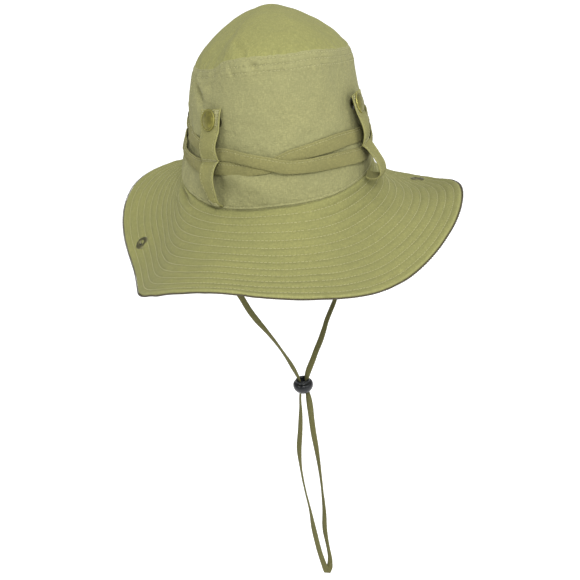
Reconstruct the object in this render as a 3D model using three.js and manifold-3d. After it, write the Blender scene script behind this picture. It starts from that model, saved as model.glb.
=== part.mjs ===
// Boonie hat: tall stuffed crown, wide drooping brim with two sides that fold up,
// a crossed two-strand hat band held by four snap tabs, and a chin cord with a
// sliding bead. Millimetres, +Z up. The front is -Y and the wearer's left is +X.
// Every shape is laid out from the centre of the seam where the crown meets the
// brim; the group is then moved so that its origin is at HANG_POINT.
// Angles run round the crown from the front, positive towards +X, and are in
// degrees in tables and radians in functions. "off" is a distance outwards from
// the crown's face, or upwards from the brim's top face.

import * as THREE from "three";
import { mergeVertices } from "three/addons/utils/BufferGeometryUtils.js";
import Module from "manifold-3d";

const wasm = await Module();
wasm.setup();

const rad = THREE.MathUtils.degToRad;
const vec = (x, y, z) => new THREE.Vector3(x, y, z);

// ------------------------------------------------------- driving dimensions
const BASE_RX = 79.8; // half width of the head opening at the seam
const BASE_RY = 101; // half length of the head opening at the seam
const TIP_RX = 63.8; // half width of the oval tip panel
const TIP_RY = 81; // half length of the tip panel
const TIP_HEIGHT = 96.3; // height of the tip seam above the brim seam
const TIP_SADDLE = 4.2; // the tip seam is higher at front and back than at the sides
const TIP_LEAN_X = 7; // sideways shift of the tip
const TIP_TILT_X = 0.7; // degrees, rise of the tip seam towards +X
const TIP_TILT_Y = -10.1; // degrees, rise towards +Y: the front is higher
const DOME_RISE = 33.6; // rise of the tip panel above its seam
const DOME_POWER = 2.07; // roundness of the dome
const CROWN_CLOTH = 1.4;
const HANG_POINT = vec(11, 1, 125.6); // on the flat inside of the apex, rests on a hat stand

const BRIM_ROWS = 12; // stitching rows
const ROW_SPACING = 6.88;
const BRIM_MARGIN = 7; // brim width beyond the row spacings
const BRIM_WIDTH = BRIM_ROWS * ROW_SPACING + BRIM_MARGIN;

// Fourier terms round the opening: constant, cos 1, sin 1, cos 2, sin 2, ...
const SEAM_RISE = [0, -1.4, 1.4, 2.1, 1.4]; // millimetres
// Fall of the brim below the horizontal, in degrees: at the crown, at the edge,
// and the extra fall halfway between them.
const SLOPE_IN = [62.4, -0.6, 12.4, -17.7, 23.6, -0.3, 3.7, 0.8, -0.1];
const SLOPE_OUT = [12.0, -12.4, -3.7, 5.7, -8.8, -1.5, 15.2, 3.5, 6.2];
const SLOPE_BOW = [-0.3, -1.3, -4.6, 2.6, -12.7];
const SLOPE_IN_MAX = 86; // keeps the fall at the crown short of the vertical
const SLOPE_EASE = 4; // degrees over which that limit sets in

// ---------------------------------------------------------------- materials
const COLORS = {
  crownWall: 0xaaa878,
  crownTip: 0xa2a26a,
  sweatband: 0x8f8d60,
  label: 0xb9b58a,
  brimTop: 0xa1a069,
  brimUnder: 0x96945f,
  binding: 0x8c8a58,
  band: 0x8e895c,
  tab: 0x9b9761,
  cord: 0x555338,
  tack: 0x7d7a50,
  snapFace: 0x726f38,
  tabSnapInside: 0x6b6840,
  brimSocket: 0x5f5c3c,
  slider: 0x1b2024,
};
const standard = (settings) => new THREE.MeshStandardMaterial(settings);
const cloth = (color) => standard({ color, roughness: 0.95, metalness: 0 });
const brass = (color) => standard({ color, roughness: 0.45, metalness: 0.8 });
const glossy = (color) => standard({ color, roughness: 0.25, metalness: 0 });

// --------------------------------------------------------- geometry helpers
function signedVolume(geometry) {
  const position = geometry.getAttribute("position");
  const index = geometry.index.array;
  const corners = [vec(), vec(), vec()];
  let volume = 0;
  for (let i = 0; i < index.length; i += 3) {
    corners.forEach((corner, k) => corner.fromBufferAttribute(position, index[i + k]));
    volume += corners[0].dot(corners[1].cross(corners[2])) / 6;
  }
  return volume;
}

// Moves every point by map, merges the shared corners and turns the faces out.
function bend(geometry, map) {
  const position = geometry.getAttribute("position");
  const point = vec();
  for (let i = 0; i < position.count; i++) {
    const moved = map(point.fromBufferAttribute(position, i));
    position.setXYZ(i, moved.x, moved.y, moved.z);
  }
  geometry.deleteAttribute("normal");
  geometry.deleteAttribute("uv");
  geometry.clearGroups();
  const merged = mergeVertices(geometry, 1e-3);
  if (signedVolume(merged) < 0) {
    const index = merged.index.array;
    for (let i = 0; i < index.length; i += 3) {
      [index[i + 1], index[i + 2]] = [index[i + 2], index[i + 1]];
    }
  }
  merged.computeVertexNormals();
  return merged;
}

const place = (geometry, matrix) => bend(geometry, (point) => point.applyMatrix4(matrix));

// A closed sheet bent by map(across, up, depth), each from 0 to 1.
const patch = (stepsAcross, stepsUp, map) =>
  bend(new THREE.BoxGeometry(1, 1, 1, stepsAcross, stepsUp, 1), (point) =>
    map(point.x + 0.5, point.y + 0.5, point.z + 0.5),
  );

const lathe = (profile, segments) =>
  new THREE.LatheGeometry(profile.map(([x, y]) => new THREE.Vector2(x, y)), segments);

// Angle of a lathe point, rounded to its segment so that the lathe closes exactly.
function latheAngle(point, segments) {
  const step = (2 * Math.PI) / segments;
  return Math.round(Math.atan2(point.x, point.z) / step) * step;
}

// A closed ring bent by map(angle, first, second); the profile lists the corners
// [first, second] of its section.
const LATHE_RADIUS = 1000; // working size before a lathe is bent
function ring(segments, profile, map) {
  const section = [...profile, profile[0]].map(([x, y]) => [LATHE_RADIUS + x, y]);
  return bend(lathe(section, segments), (point) =>
    map(latheAngle(point, segments), Math.hypot(point.x, point.z) - LATHE_RADIUS, point.y),
  );
}

// A solid turned about +Z. The profile of [radius, z] starts and ends on the axis,
// or closes on itself round a hole.
const SNAP_SEGMENTS = 14;
const turned = (profile, segments = SNAP_SEGMENTS) =>
  bend(lathe(profile, segments), (point) => vec(point.x, -point.z, point.y));

// A strip of cloth swept across its width: X across, Y up, Z off. Its centre line
// goes through the points [off, up].
const STRIP_STEPS = 11;
function strip(points, width, thickness) {
  const curve = new THREE.SplineCurve(points.map(([off, up]) => new THREE.Vector2(off, up)));
  const outer = [];
  const inner = [];
  for (let i = 0; i <= STRIP_STEPS; i++) {
    const { x, y } = curve.getPoint(i / STRIP_STEPS);
    const tangent = curve.getTangent(i / STRIP_STEPS);
    const sideX = (tangent.y * thickness) / 2;
    const sideY = (tangent.x * thickness) / 2;
    outer.push(new THREE.Vector2(x + sideX, y - sideY));
    inner.push(new THREE.Vector2(x - sideX, y + sideY));
  }
  const shape = new THREE.Shape([...outer, ...inner.reverse()]);
  const extruded = new THREE.ExtrudeGeometry(shape, {
    depth: width,
    bevelEnabled: false,
    steps: 1,
  });
  return bend(extruded, (point) => vec(point.z - width / 2, point.y, point.x));
}

const toSolid = (geometry) =>
  new wasm.Manifold(
    new wasm.Mesh({
      numProp: 3,
      vertProperties: new Float32Array(geometry.getAttribute("position").array),
      triVerts: new Uint32Array(geometry.index.array),
    }),
  );

function fromSolid(solid) {
  const mesh = solid.getMesh();
  const positions = new Float32Array(mesh.vertProperties);
  const geometry = new THREE.BufferGeometry();
  geometry.setAttribute("position", new THREE.BufferAttribute(positions, 3));
  geometry.setIndex(new THREE.BufferAttribute(new Uint32Array(mesh.triVerts), 1));
  geometry.computeVertexNormals();
  return geometry;
}

function fourier(terms, angle) {
  let sum = terms[0];
  for (let k = 1; 2 * k < terms.length; k++) {
    sum += terms[2 * k - 1] * Math.cos(k * angle) + terms[2 * k] * Math.sin(k * angle);
  }
  return sum;
}

// Smooth closed curve through a table of [degrees, value], as a function of angle.
function periodicCurve(table) {
  const station = (i) => {
    const turns = Math.floor(i / table.length);
    const [degrees, value] = table[i - turns * table.length];
    return [degrees + 360 * turns, value];
  };
  return (angle) => {
    const start = table[0][0];
    const turned = THREE.MathUtils.radToDeg(angle) - start;
    const degrees = start + THREE.MathUtils.euclideanModulo(turned, 360);
    let i = 0;
    while (station(i + 1)[0] <= degrees) i++;
    const [beforeX, beforeY] = station(i - 1);
    const [fromX, fromY] = station(i);
    const [toX, toY] = station(i + 1);
    const [afterX, afterY] = station(i + 2);
    const span = toX - fromX;
    const share = (degrees - fromX) / span;
    const fromSlope = ((toY - beforeY) / (toX - beforeX)) * span;
    const toSlope = ((afterY - fromY) / (afterX - fromX)) * span;
    const square = share ** 2;
    const cube = share ** 3;
    return (
      (2 * cube - 3 * square + 1) * fromY +
      (cube - 2 * square + share) * fromSlope +
      (3 * square - 2 * cube) * toY +
      (cube - square) * toSlope
    );
  };
}

// ------------------------------------------------------------ hat surfaces
const basePoint = (angle) =>
  vec(BASE_RX * Math.sin(angle), -BASE_RY * Math.cos(angle), fourier(SEAM_RISE, angle));

const tipPlane = (x, y) =>
  TIP_HEIGHT + Math.tan(rad(TIP_TILT_X)) * x + Math.tan(rad(TIP_TILT_Y)) * y;
const tipCentre = vec(TIP_LEAN_X, 0, tipPlane(TIP_LEAN_X, 0));

function tipPoint(angle) {
  const x = TIP_LEAN_X + TIP_RX * Math.sin(angle);
  const y = -TIP_RY * Math.cos(angle);
  return vec(x, y, tipPlane(x, y) + TIP_SADDLE * Math.cos(2 * angle));
}

// share: 0 at the centre of the tip panel, 1 at its seam
const domePoint = (angle, share) =>
  tipCentre
    .clone()
    .lerp(tipPoint(angle), share)
    .add(vec(0, 0, DOME_RISE * (1 - share ** DOME_POWER)));

// share: 0 at the brim seam, 1 at the tip seam
function wallFrame(angle, share) {
  const face = (faceAngle, faceShare) => basePoint(faceAngle).lerp(tipPoint(faceAngle), faceShare);
  const step = 1e-3;
  const along = face(angle + step, share).sub(face(angle - step, share)).normalize();
  const up = face(angle, share + step).sub(face(angle, share - step)).normalize();
  return { point: face(angle, share), along, normal: along.clone().cross(up).normalize() };
}
const offset = ({ point, normal }, off) => point.addScaledVector(normal, off);
const wallPoint = (angle, share, off) => offset(wallFrame(angle, share), off);

// The same, with the height in millimetres up the wall.
const wallShare = (angle, height) => height / basePoint(angle).distanceTo(tipPoint(angle));
const wallAt = (angle, height, off) => wallPoint(angle, wallShare(angle, height), off);

// Top face of the brim, at a distance outwards along the cloth, found by adding up
// short steps at the local slope.
const BRIM_STEPS = 64; // over the whole width
function brimFace(angle, distance) {
  const outward = vec(Math.sin(angle) / BASE_RX, -Math.cos(angle) / BASE_RY, 0).normalize();
  const margin = (SLOPE_IN_MAX - fourier(SLOPE_IN, angle)) / SLOPE_EASE;
  const slopeIn = SLOPE_IN_MAX - SLOPE_EASE * Math.log(1 + Math.exp(margin));
  const slopeOut = fourier(SLOPE_OUT, angle);
  const bow = fourier(SLOPE_BOW, angle);
  const share = distance / BRIM_WIDTH;
  const steps = Math.ceil(share * BRIM_STEPS);
  let reach = 0;
  let z = 0;
  for (let i = 0; i < steps; i++) {
    const at = ((i + 0.5) / steps) * share;
    const slope = rad(slopeIn + (slopeOut - slopeIn) * at + bow * 4 * at * (1 - at));
    reach += (Math.cos(slope) * distance) / steps;
    z -= (Math.sin(slope) * distance) / steps;
  }
  return basePoint(angle).addScaledVector(outward, reach).add(vec(0, 0, z));
}

function brimFrame(angle, distance) {
  const turn = 2e-3;
  const step = 0.5;
  const along = brimFace(angle + turn, distance).sub(brimFace(angle - turn, distance)).normalize();
  const out = brimFace(angle, distance + step).sub(brimFace(angle, distance - step));
  return { point: brimFace(angle, distance), along, normal: out.cross(along).normalize() };
}
const brimPoint = (angle, distance, off) => offset(brimFrame(angle, distance), off);

// Local axes on a surface: X round the hat, Z along the normal. On the crown, Y
// is up the wall.
function frameMatrix({ point, along, normal }) {
  const up = normal.clone().cross(along).normalize();
  return new THREE.Matrix4().makeBasis(along, up, normal).setPosition(point);
}
const wallMatrix = (angle, height) => frameMatrix(wallFrame(angle, wallShare(angle, height)));

const hat = new THREE.Group();
function add(name, geometry, material) {
  const mesh = new THREE.Mesh(geometry, material);
  mesh.name = name;
  hat.add(mesh);
}

// -------------------------------------------------------------------- crown
const HALF_SEAM = rad(0.15); // half the gap between the wall panels
const WALL_END_SHARE = 0.008; // left free at the brim seam and at the tip seam

// One of the two wall halves, which meet at the sides.
function addCrownPanel(name, middle) {
  const start = rad(middle - 90) + HALF_SEAM;
  const sweep = rad(180) - 2 * HALF_SEAM;
  const height = 1 - 2 * WALL_END_SHARE;
  const geometry = patch(22, 5, (across, up, depth) =>
    wallPoint(start + sweep * across, WALL_END_SHARE + height * up, -CROWN_CLOTH * (1 - depth)),
  );
  add(name, geometry, cloth(COLORS.crownWall));
}

// Domed oval whose inside is flat at the very top.
function addCrownTip() {
  const segments = 44;
  const flat = 12 / TIP_RX; // share of the panel that is flat inside
  const outerRise = 0.3; // outer face above the dome surface
  const innerDrop = 1.3; // inner face below it
  const rimDrop = 0.9; // the same, near the seam
  const rimShare = 0.9;
  // shares of the panel: up the outside to the seam, then back along the inside
  const outer = [0, flat, 0.42, 0.66, 0.85, 0.99];
  const inner = [0.975, 0.8, 0.6, 0.38, flat, 0];
  const profile = [
    ...outer.map((share) => [share * LATHE_RADIUS, 1]),
    ...inner.map((share) => [share * LATHE_RADIUS, 0]),
  ];
  const geometry = bend(lathe(profile, segments), (corner) => {
    const share = Math.hypot(corner.x, corner.z) / LATHE_RADIUS;
    const point = domePoint(latheAngle(corner, segments), share);
    if (corner.y > 0.5) point.z += outerRise;
    else if (share < flat + 0.001) point.z = HANG_POINT.z;
    else point.z -= share > rimShare ? rimDrop : innerDrop;
    return point;
  });
  add("crown_tip", geometry, cloth(COLORS.crownTip));
}

// ------------------------------------------- sweatband and what is sewn on it
const SWEATBAND = { outerOff: -2.0, innerOff: -3.4, bottom: 1.2, top: 29 };
const SEWN_OFF = -3.8; // crown-side face of the label and the cord tacks
const LABEL = { steps: 4, halfAngle: 11, bottom: 6, height: 16, thickness: 0.7 };
const TACK = { steps: 2, halfAngle: 3, bottom: 7, height: 9, thickness: 1.0 };

function addSweatband() {
  const { outerOff, innerOff, bottom, top } = SWEATBAND;
  const profile = [[outerOff, bottom], [innerOff, bottom], [innerOff, top], [outerOff, top]];
  const geometry = ring(48, profile, (angle, off, height) => wallAt(angle, height, off));
  add("sweatband", geometry, cloth(COLORS.sweatband));
}

const sewnPatch = (middle, { steps, halfAngle, bottom, height, thickness }) =>
  patch(steps, 1, (across, up, depth) =>
    wallAt(
      rad(middle + halfAngle * (2 * across - 1)),
      bottom + height * up,
      SEWN_OFF - thickness * depth,
    ),
  );

// --------------------------------------------------------------------- brim
const PLY = 0.9; // thickness of each ply
const PLY_GAP = 0.9;
const FOLD_X = 86; // where the brim sides fold up
const HALF_CUT = 0.3; // half the gap at each fold
const PLY_STATIONS = [0.7, 8, 20, 36, 54, 72, BRIM_WIDTH - 1.8]; // distances from the seam
// section of the edge binding: [distance in from the brim's edge, off]
const BINDING = [[1.5, 0.3], [0.6, 0.15], [0, -0.8], [0, -1.9], [0.6, -2.85], [1.5, -3.0]];

const brimRing = (profile) => toSolid(ring(56, profile, brimPoint));
const ply = (topOff) =>
  brimRing([
    ...PLY_STATIONS.map((distance) => [distance, topOff]),
    ...PLY_STATIONS.toReversed().map((distance) => [distance, topOff - PLY]),
  ]);

// A box over the given range of X and Y, taller than the hat's brim.
const CUT_REACH = 400;
function cutter(minX, maxX, minY = -CUT_REACH, maxY = CUT_REACH) {
  const centre = vec((minX + maxX) / 2, (minY + maxY) / 2, 0);
  const box = new THREE.BoxGeometry(maxX - minX, maxY - minY, 2 * CUT_REACH);
  return toSolid(bend(box, (point) => point.add(centre)));
}

// Plies and binding, cut into the fixed middle and the two folding sides.
function addBrim() {
  const inner = FOLD_X - HALF_CUT;
  const outer = FOLD_X + HALF_CUT;
  const cutters = {
    center: cutter(-inner, inner),
    left: cutter(outer, CUT_REACH),
    right: cutter(-CUT_REACH, -outer),
    front: cutter(-inner, inner, -CUT_REACH, 0),
    back: cutter(-inner, inner, 0, CUT_REACH),
  };
  const binding = brimRing(BINDING.map(([inset, off]) => [BRIM_WIDTH - inset, off]));
  for (const [layer, solid, color, parts] of [
    ["top", ply(0), COLORS.brimTop, ["center", "left", "right"]],
    ["under", ply(-PLY - PLY_GAP), COLORS.brimUnder, ["center", "left", "right"]],
    ["binding", binding, COLORS.binding, ["front", "back", "left", "right"]],
  ]) {
    for (const part of parts) {
      add(`brim_${layer}_${part}`, fromSolid(solid.intersect(cutters[part])), cloth(color));
    }
  }
}

// ----------------------------------------------------------------- hat band
const BAND_WIDTH = 9.4;
const BAND_THICK = 1.8;
const BAND_BEVEL = 0.8; // height of the sloping edges
// off: clearance off the crown; path: [degrees, height of the strand's middle up the wall]
const BAND_STRANDS = {
  outer: {
    off: 3.3,
    path: [
      [-180, 36], [-138, 37], [-105, 42], [-72, 46], [-51, 43.5], [-40, 45],
      [-29, 43], [-17, 38.5], [-7, 33.6], [7, 30.2], [19, 27.6], [30, 25],
      [48, 19.5], [58, 17.5], [92, 22], [115, 31], [138, 40], [160, 38.5],
    ],
  },
  inner: {
    off: 0.8,
    path: [
      [-180, 25], [-138, 19], [-105, 24], [-72, 28], [-51, 32.3], [-40, 34],
      [-27, 34.3], [-17, 35.6], [-11, 37], [-3, 40.2], [14, 41], [28, 40],
      [48, 35], [58, 33.5], [92, 33], [115, 29], [138, 24], [160, 23.5],
    ],
  },
};

function addBandStrand(name, { off, path }) {
  const middle = periodicCurve(path);
  const half = BAND_WIDTH / 2;
  const flat = half - BAND_BEVEL;
  const profile = [
    [0, -flat], [0, flat], [BAND_THICK / 2, half],
    [BAND_THICK, flat], [BAND_THICK, -flat], [BAND_THICK / 2, -half],
  ];
  const geometry = ring(48, profile, (angle, depth, up) =>
    wallAt(angle, middle(angle) + up, off + depth),
  );
  add(`band_strand_${name}`, geometry, cloth(COLORS.band));
}

// --------------------------------------------------------------------- tabs
// at: degrees round the crown; middle: height of the middle bartack up the wall
const TABS = [
  { name: "front_left", at: 50, middle: 27.3 },
  { name: "front_right", at: -51, middle: 37.6 },
  { name: "rear_left", at: 138, middle: 32 },
  { name: "rear_right", at: -138, middle: 28 },
];
const FLAP_WIDTH = 21;
const LOOP_WIDTH = FLAP_WIDTH - 3;
const TAB_CLOTH = 1.2;
const SNAP_ABOVE_MIDDLE = 33.5; // snap centre above the middle bartack

// Centre line [off, height above the bartack], from the bartack up over the band
// to beyond the snap.
const FLAP_LINE = [
  [6.5, 0.75], [8.0, 3.6], [8.5, 8], [7.4, 14.5],
  [5.7, 19], [5.3, 22], [5.3, SNAP_ABOVE_MIDDLE], [5.3, 42.4],
];
// The same, from the brim seam out round the band and back to the bartack.
const loopLine = (seam) => [
  [1.5, seam + 2.2], [5.0, seam + 4.2], [8.6, seam + 8.5], [9.6, seam * 0.55],
  [8.4, seam * 0.28], [6.9, -2.4], [6.3, -0.75],
];

// turned profiles: [radius, off]
const TAB_SNAP = {
  cap: [[0, 6.35], [7.6, 6.35], [8.6, 6.9], [8.6, 7.5], [7.4, 8.3], [4.2, 8.9], [0, 9.1]],
  socket: [[2.8, 2.6], [5.6, 2.6], [6.0, 3.2], [6.0, 4.3], [2.8, 4.3], [2.8, 2.6]],
  post: [
    [0, 0.7], [6.0, 0.7], [6.0, 1.3], [5.2, 1.7],
    [2.2, 1.7], [2.2, 3.3], [1.6, 3.8], [0, 3.8],
  ],
};

function addTab({ name, at, middle }) {
  const matrix = wallMatrix(rad(at), middle);
  const loop = strip(loopLine(-middle), LOOP_WIDTH, TAB_CLOTH);
  const flap = strip(FLAP_LINE, FLAP_WIDTH, TAB_CLOTH);
  add(`tab_${name}_loop`, place(loop, matrix), cloth(COLORS.tab));
  add(`tab_${name}_flap`, place(flap, matrix), cloth(COLORS.tab));

  const lift = new THREE.Matrix4().makeTranslation(0, SNAP_ABOVE_MIDDLE, 0);
  const snapMatrix = matrix.clone().multiply(lift);
  for (const [part, profile] of Object.entries(TAB_SNAP)) {
    const color = part === "cap" ? COLORS.snapFace : COLORS.tabSnapInside;
    add(`tab_${name}_snap_${part}`, place(turned(profile), snapMatrix), brass(color));
  }
}

// --------------------------------------------------------- brim side snaps
const BRIM_SNAP_DISTANCE = 0.83 * BRIM_WIDTH; // out from the seam
const BRIM_STUD_HEIGHT = 52; // up the crown wall, where the folded brim closes
// degrees round the crown of the parts on the brim and of the stud on the crown
const BRIM_SNAPS = [
  { side: "left", brimAt: 100, studAt: 101 },
  { side: "right", brimAt: -98, studAt: -101 },
];
// turned profiles: [radius, off]; the socket is above the brim, the cap below it
const BRIM_SOCKET = [[2.4, 1.6], [6.2, 1.6], [6.2, 2.2], [4.6, 3.0], [2.8, 3.0], [2.4, 1.6]];
const BRIM_CAP = [[0, -5.6], [4.0, -5.3], [7.2, -4.3], [7.4, -3.5], [0, -3.5]];
const CROWN_STUD = [
  [0, 0.6], [6.2, 0.6], [6.2, 1.2], [4.8, 1.8],
  [2.1, 1.8], [2.1, 3.2], [1.5, 3.7], [0, 3.7],
];

function addBrimSnap({ side, brimAt, studAt }) {
  const brim = frameMatrix(brimFrame(rad(brimAt), BRIM_SNAP_DISTANCE));
  const crown = wallMatrix(rad(studAt), BRIM_STUD_HEIGHT);
  for (const [part, profile, matrix, color] of [
    ["socket", BRIM_SOCKET, brim, COLORS.brimSocket],
    ["cap", BRIM_CAP, brim, COLORS.snapFace],
    ["stud", CROWN_STUD, crown, COLORS.snapFace],
  ]) {
    add(`brim_snap_${part}_${side}`, place(turned(profile), matrix), brass(color));
  }
}

// ------------------------------------------------------ chin cord and slider
const SLIDER_Z = -224;
const SLIDER_R = 8.6;
const SLIDER_H = 12.4;
const SLIDER_BORE = 4.2; // radius of the one bore for both strands

const CORD_X = 70.6; // upper ends
const CORD_WIDTH = 5.2;
const CORD_THICK = 1.3;
const CORD_GAP_HALF = 1.6; // middle of each strand from the centre plane, in the slider
const CORD_END_Z = -446;
// [x, z] of the left strand, from its end inside the hat down to the fold
const CORD_LINE = [
  [CORD_X, 12],
  [CORD_X - 3.5, -14],
  [60, -70],
  [34, -140],
  [14, -187],
  [4.6, -208],
  [CORD_GAP_HALF + 0.15, SLIDER_Z + 8],
  [CORD_GAP_HALF, SLIDER_Z],
  [CORD_GAP_HALF, -300],
  [CORD_GAP_HALF, -380],
  [CORD_GAP_HALF, CORD_END_Z + 2.2],
];

// One flat tape, folded at the bottom.
function addChinCord() {
  const steps = 64;
  const spacingPower = 0.9; // below 1, steps are shorter towards the upper ends
  const left = CORD_LINE.map(([x, z]) => vec(x, 0, z));
  const right = CORD_LINE.map(([x, z]) => vec(-x, 0, z)).reverse();
  const path = new THREE.CatmullRomCurve3([...left, vec(0, 0, CORD_END_Z), ...right]);
  // the sections' sides stay in the XZ plane, so that the tape never twists
  const sections = [];
  for (let i = 0; i <= steps; i++) {
    const fromFold = 1 - (2 * i) / steps;
    const spaced = Math.sign(fromFold) * Math.abs(fromFold) ** spacingPower;
    const share = 0.5 - 0.5 * spaced;
    const tangent = path.getTangentAt(share);
    const side = vec(tangent.z, 0, -tangent.x).normalize();
    sections.push({ point: path.getPointAt(share), side });
  }
  const geometry = patch(steps, 1, (along, depth, across) => {
    const { point, side } = sections[Math.round(along * steps)];
    return point
      .clone()
      .addScaledVector(side, (depth - 0.5) * CORD_THICK)
      .add(vec(0, (across - 0.5) * CORD_WIDTH, 0));
  });
  add("chin_cord", geometry, cloth(COLORS.cord));
}

function addSlider() {
  const half = SLIDER_H / 2;
  const rim = SLIDER_BORE + 1.8; // outer radius of the flat ends
  const shoulder = SLIDER_R - 0.8;
  const shoulderZ = half * 0.55;
  const profile = [
    [SLIDER_BORE, -half], [rim, -half], [shoulder, -shoulderZ], [SLIDER_R, 0],
    [shoulder, shoulderZ], [rim, half], [SLIDER_BORE, half], [SLIDER_BORE, -half],
  ];
  add("slider", turned(profile, 24).translate(0, 0, SLIDER_Z), glossy(COLORS.slider));
}

// ----------------------------------------------------------------- assembly
addCrownPanel("crown_front_panel", 0);
addCrownPanel("crown_back_panel", 180);
addCrownTip();
addSweatband();
add("blank_label", sewnPatch(180, LABEL), cloth(COLORS.label));
addBrim();
for (const [name, strand] of Object.entries(BAND_STRANDS)) addBandStrand(name, strand);
TABS.forEach(addTab);
BRIM_SNAPS.forEach(addBrimSnap);
addChinCord();
// tacks that hold the cord's ends to the sweatband
add("cord_tack_left", sewnPatch(90, TACK), cloth(COLORS.tack));
add("cord_tack_right", sewnPatch(-90, TACK), cloth(COLORS.tack));
addSlider();

hat.position.copy(HANG_POINT).negate();

export default hat;
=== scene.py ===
"""Boonie hat: crown, quilted brim, band, four tabs with snaps, chin cord and slider.

The hat is laid out in mm about the centre of the brim seam: up is +Z, the front is -Y and
the wearer's left is +X. Angles round it start at the front and grow towards the wearer's
left. ORIGIN takes it to the frame's own place, in metres, as each mesh is made.
"""
import math
from math import pi, radians
from types import SimpleNamespace

import bpy
import numpy as np
from mathutils import Matrix, Vector


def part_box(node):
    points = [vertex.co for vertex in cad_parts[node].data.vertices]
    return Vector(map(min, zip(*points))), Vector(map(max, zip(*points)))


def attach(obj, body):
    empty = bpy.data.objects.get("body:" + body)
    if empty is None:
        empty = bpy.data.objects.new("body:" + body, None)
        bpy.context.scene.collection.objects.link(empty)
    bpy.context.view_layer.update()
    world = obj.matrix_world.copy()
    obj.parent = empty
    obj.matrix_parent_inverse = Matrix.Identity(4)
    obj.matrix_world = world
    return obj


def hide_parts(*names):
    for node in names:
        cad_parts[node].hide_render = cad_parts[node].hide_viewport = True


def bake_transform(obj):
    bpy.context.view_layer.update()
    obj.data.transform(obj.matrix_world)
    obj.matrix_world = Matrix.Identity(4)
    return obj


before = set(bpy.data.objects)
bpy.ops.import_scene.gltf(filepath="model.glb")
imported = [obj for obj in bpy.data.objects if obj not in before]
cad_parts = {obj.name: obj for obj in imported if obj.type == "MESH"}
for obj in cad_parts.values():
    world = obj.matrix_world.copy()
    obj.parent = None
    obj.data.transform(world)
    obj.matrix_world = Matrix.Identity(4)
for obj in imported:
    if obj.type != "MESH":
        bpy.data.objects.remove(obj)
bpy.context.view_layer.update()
MM = 0.001
ORIGIN = np.array([11.0, 1.0, 125.6])  # the frame's origin, in mm, from the brim seam's centre

# ------------------------------------------------------------ main dimensions, mm
SEAM_RX, SEAM_RY = 79.8, 101.0  # brim seam
SEAM_WAVE = (-1.4, 1.4, 2.1, 1.4)  # its height: cos, sin, cos 2, sin 2 of the angle
TIP_RX, TIP_RY = 63.8, 81.0  # seam between wall and crown tip
TIP_HEIGHT, TIP_SADDLE, TIP_SHIFT_X = 96.3, 4.2, 7.0
TIP_TILT_X, TIP_TILT_Y = math.tan(radians(0.7)), math.tan(radians(-10.1))
DOME_RISE, DOME_POWER = 33.6, 2.07
WALL_RADIUS, TIP_RADIUS = 74.0, 72.0  # mean radii, to turn angles and shares into lengths

QUILT_ROWS, QUILT_PITCH = 12, 6.88
BRIM_WIDTH = QUILT_ROWS * QUILT_PITCH + 7
STITCH_ROWS = [QUILT_PITCH * k for k in range(1, QUILT_ROWS + 1)]
BRIM_MIDDLE = -1.35  # the brim's middle layer, off its top surface
# Slope of the brim in degrees down: Fourier terms round the hat, at seam, at lip, mid-width bow
SLOPE_IN = (62.4, -0.6, 12.4, -17.7, 23.6, -0.3, 3.7, 0.8, -0.1)
SLOPE_OUT = (12.0, -12.4, -3.7, 5.7, -8.8, -1.5, 15.2, 3.5, 6.2)
SLOPE_BOW = (-0.3, -1.3, -4.6, 2.6, -12.7)
SLOPE_MAX = 86.0
SIDES = {"left": 1, "right": -1}  # sign of x
FOLD_START, FOLD_END, FOLD_Z = 86.0, 120.0, -17  # x of two points on each brim side, and their height, in mm

FELL = 12.6  # depth of the tip seam's felled allowance
TIP_STITCH_ROWS = (1.6, 6.4, 11.4)  # below the tip seam
SIDE_STITCH = 4.0  # each side of the lapped side seams
STUD_ANGLE, STUD_UP = 101, 52.0  # brim studs on the crown: degrees either side, height
SNAP_UP = 31.8  # tab snaps, above the middle of their tab


# -------------------------------------------------------------------- maths helpers
def unit(vectors):
    return vectors / np.maximum(np.linalg.norm(vectors, axis=-1, keepdims=True), 1e-12)


def ease(start, end, x):
    """A smooth step from 0 at start to 1 at end."""
    s = np.clip((np.asarray(x, float) - start) / (end - start), 0, 1)
    return s * s * (3 - 2 * s)


def bump(x, centre, width):
    return np.exp(-(((np.asarray(x, float) - centre) / width) ** 2))


def to_degrees(angle):
    """Degrees from the front, -180 to 180."""
    return (np.degrees(angle) + 180) % 360 - 180


def fourier(terms, angle):
    value = terms[0]
    for k in range(1, len(terms) // 2 + 1):
        value = value + terms[2 * k - 1] * np.cos(k * angle) + terms[2 * k] * np.sin(k * angle)
    return value


def hermite(s, span, start, end, start_slope, end_slope):
    """Cubic from start to end as s goes from 0 to 1."""
    return (
        (2 * s**3 - 3 * s**2 + 1) * start
        + (s**3 - 2 * s**2 + s) * start_slope * span
        + (3 * s**2 - 2 * s**3) * end
        + (s**3 - s**2) * end_slope * span
    )


def periodic(table):
    """A smooth function of the angle through (degrees, value) stations round the hat."""
    table = np.array(table, float)
    turn = np.array([360, 0])
    x, y = np.concatenate([table[-3:] - turn, table, table[:3] + turn]).T
    slopes = np.zeros_like(y)
    slopes[1:-1] = (y[2:] - y[:-2]) / (x[2:] - x[:-2])

    def value(angle):
        degrees = to_degrees(angle)
        i = np.clip(np.searchsorted(x, degrees, side="right") - 1, 1, len(x) - 3)
        span = x[i + 1] - x[i]
        return hermite((degrees - x[i]) / span, span, y[i], y[i + 1], slopes[i], slopes[i + 1])

    return value


def run(points):
    """Distance travelled along points."""
    steps = np.linalg.norm(np.diff(points, axis=0), axis=-1)
    return np.concatenate([[0], np.cumsum(steps)])


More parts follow.
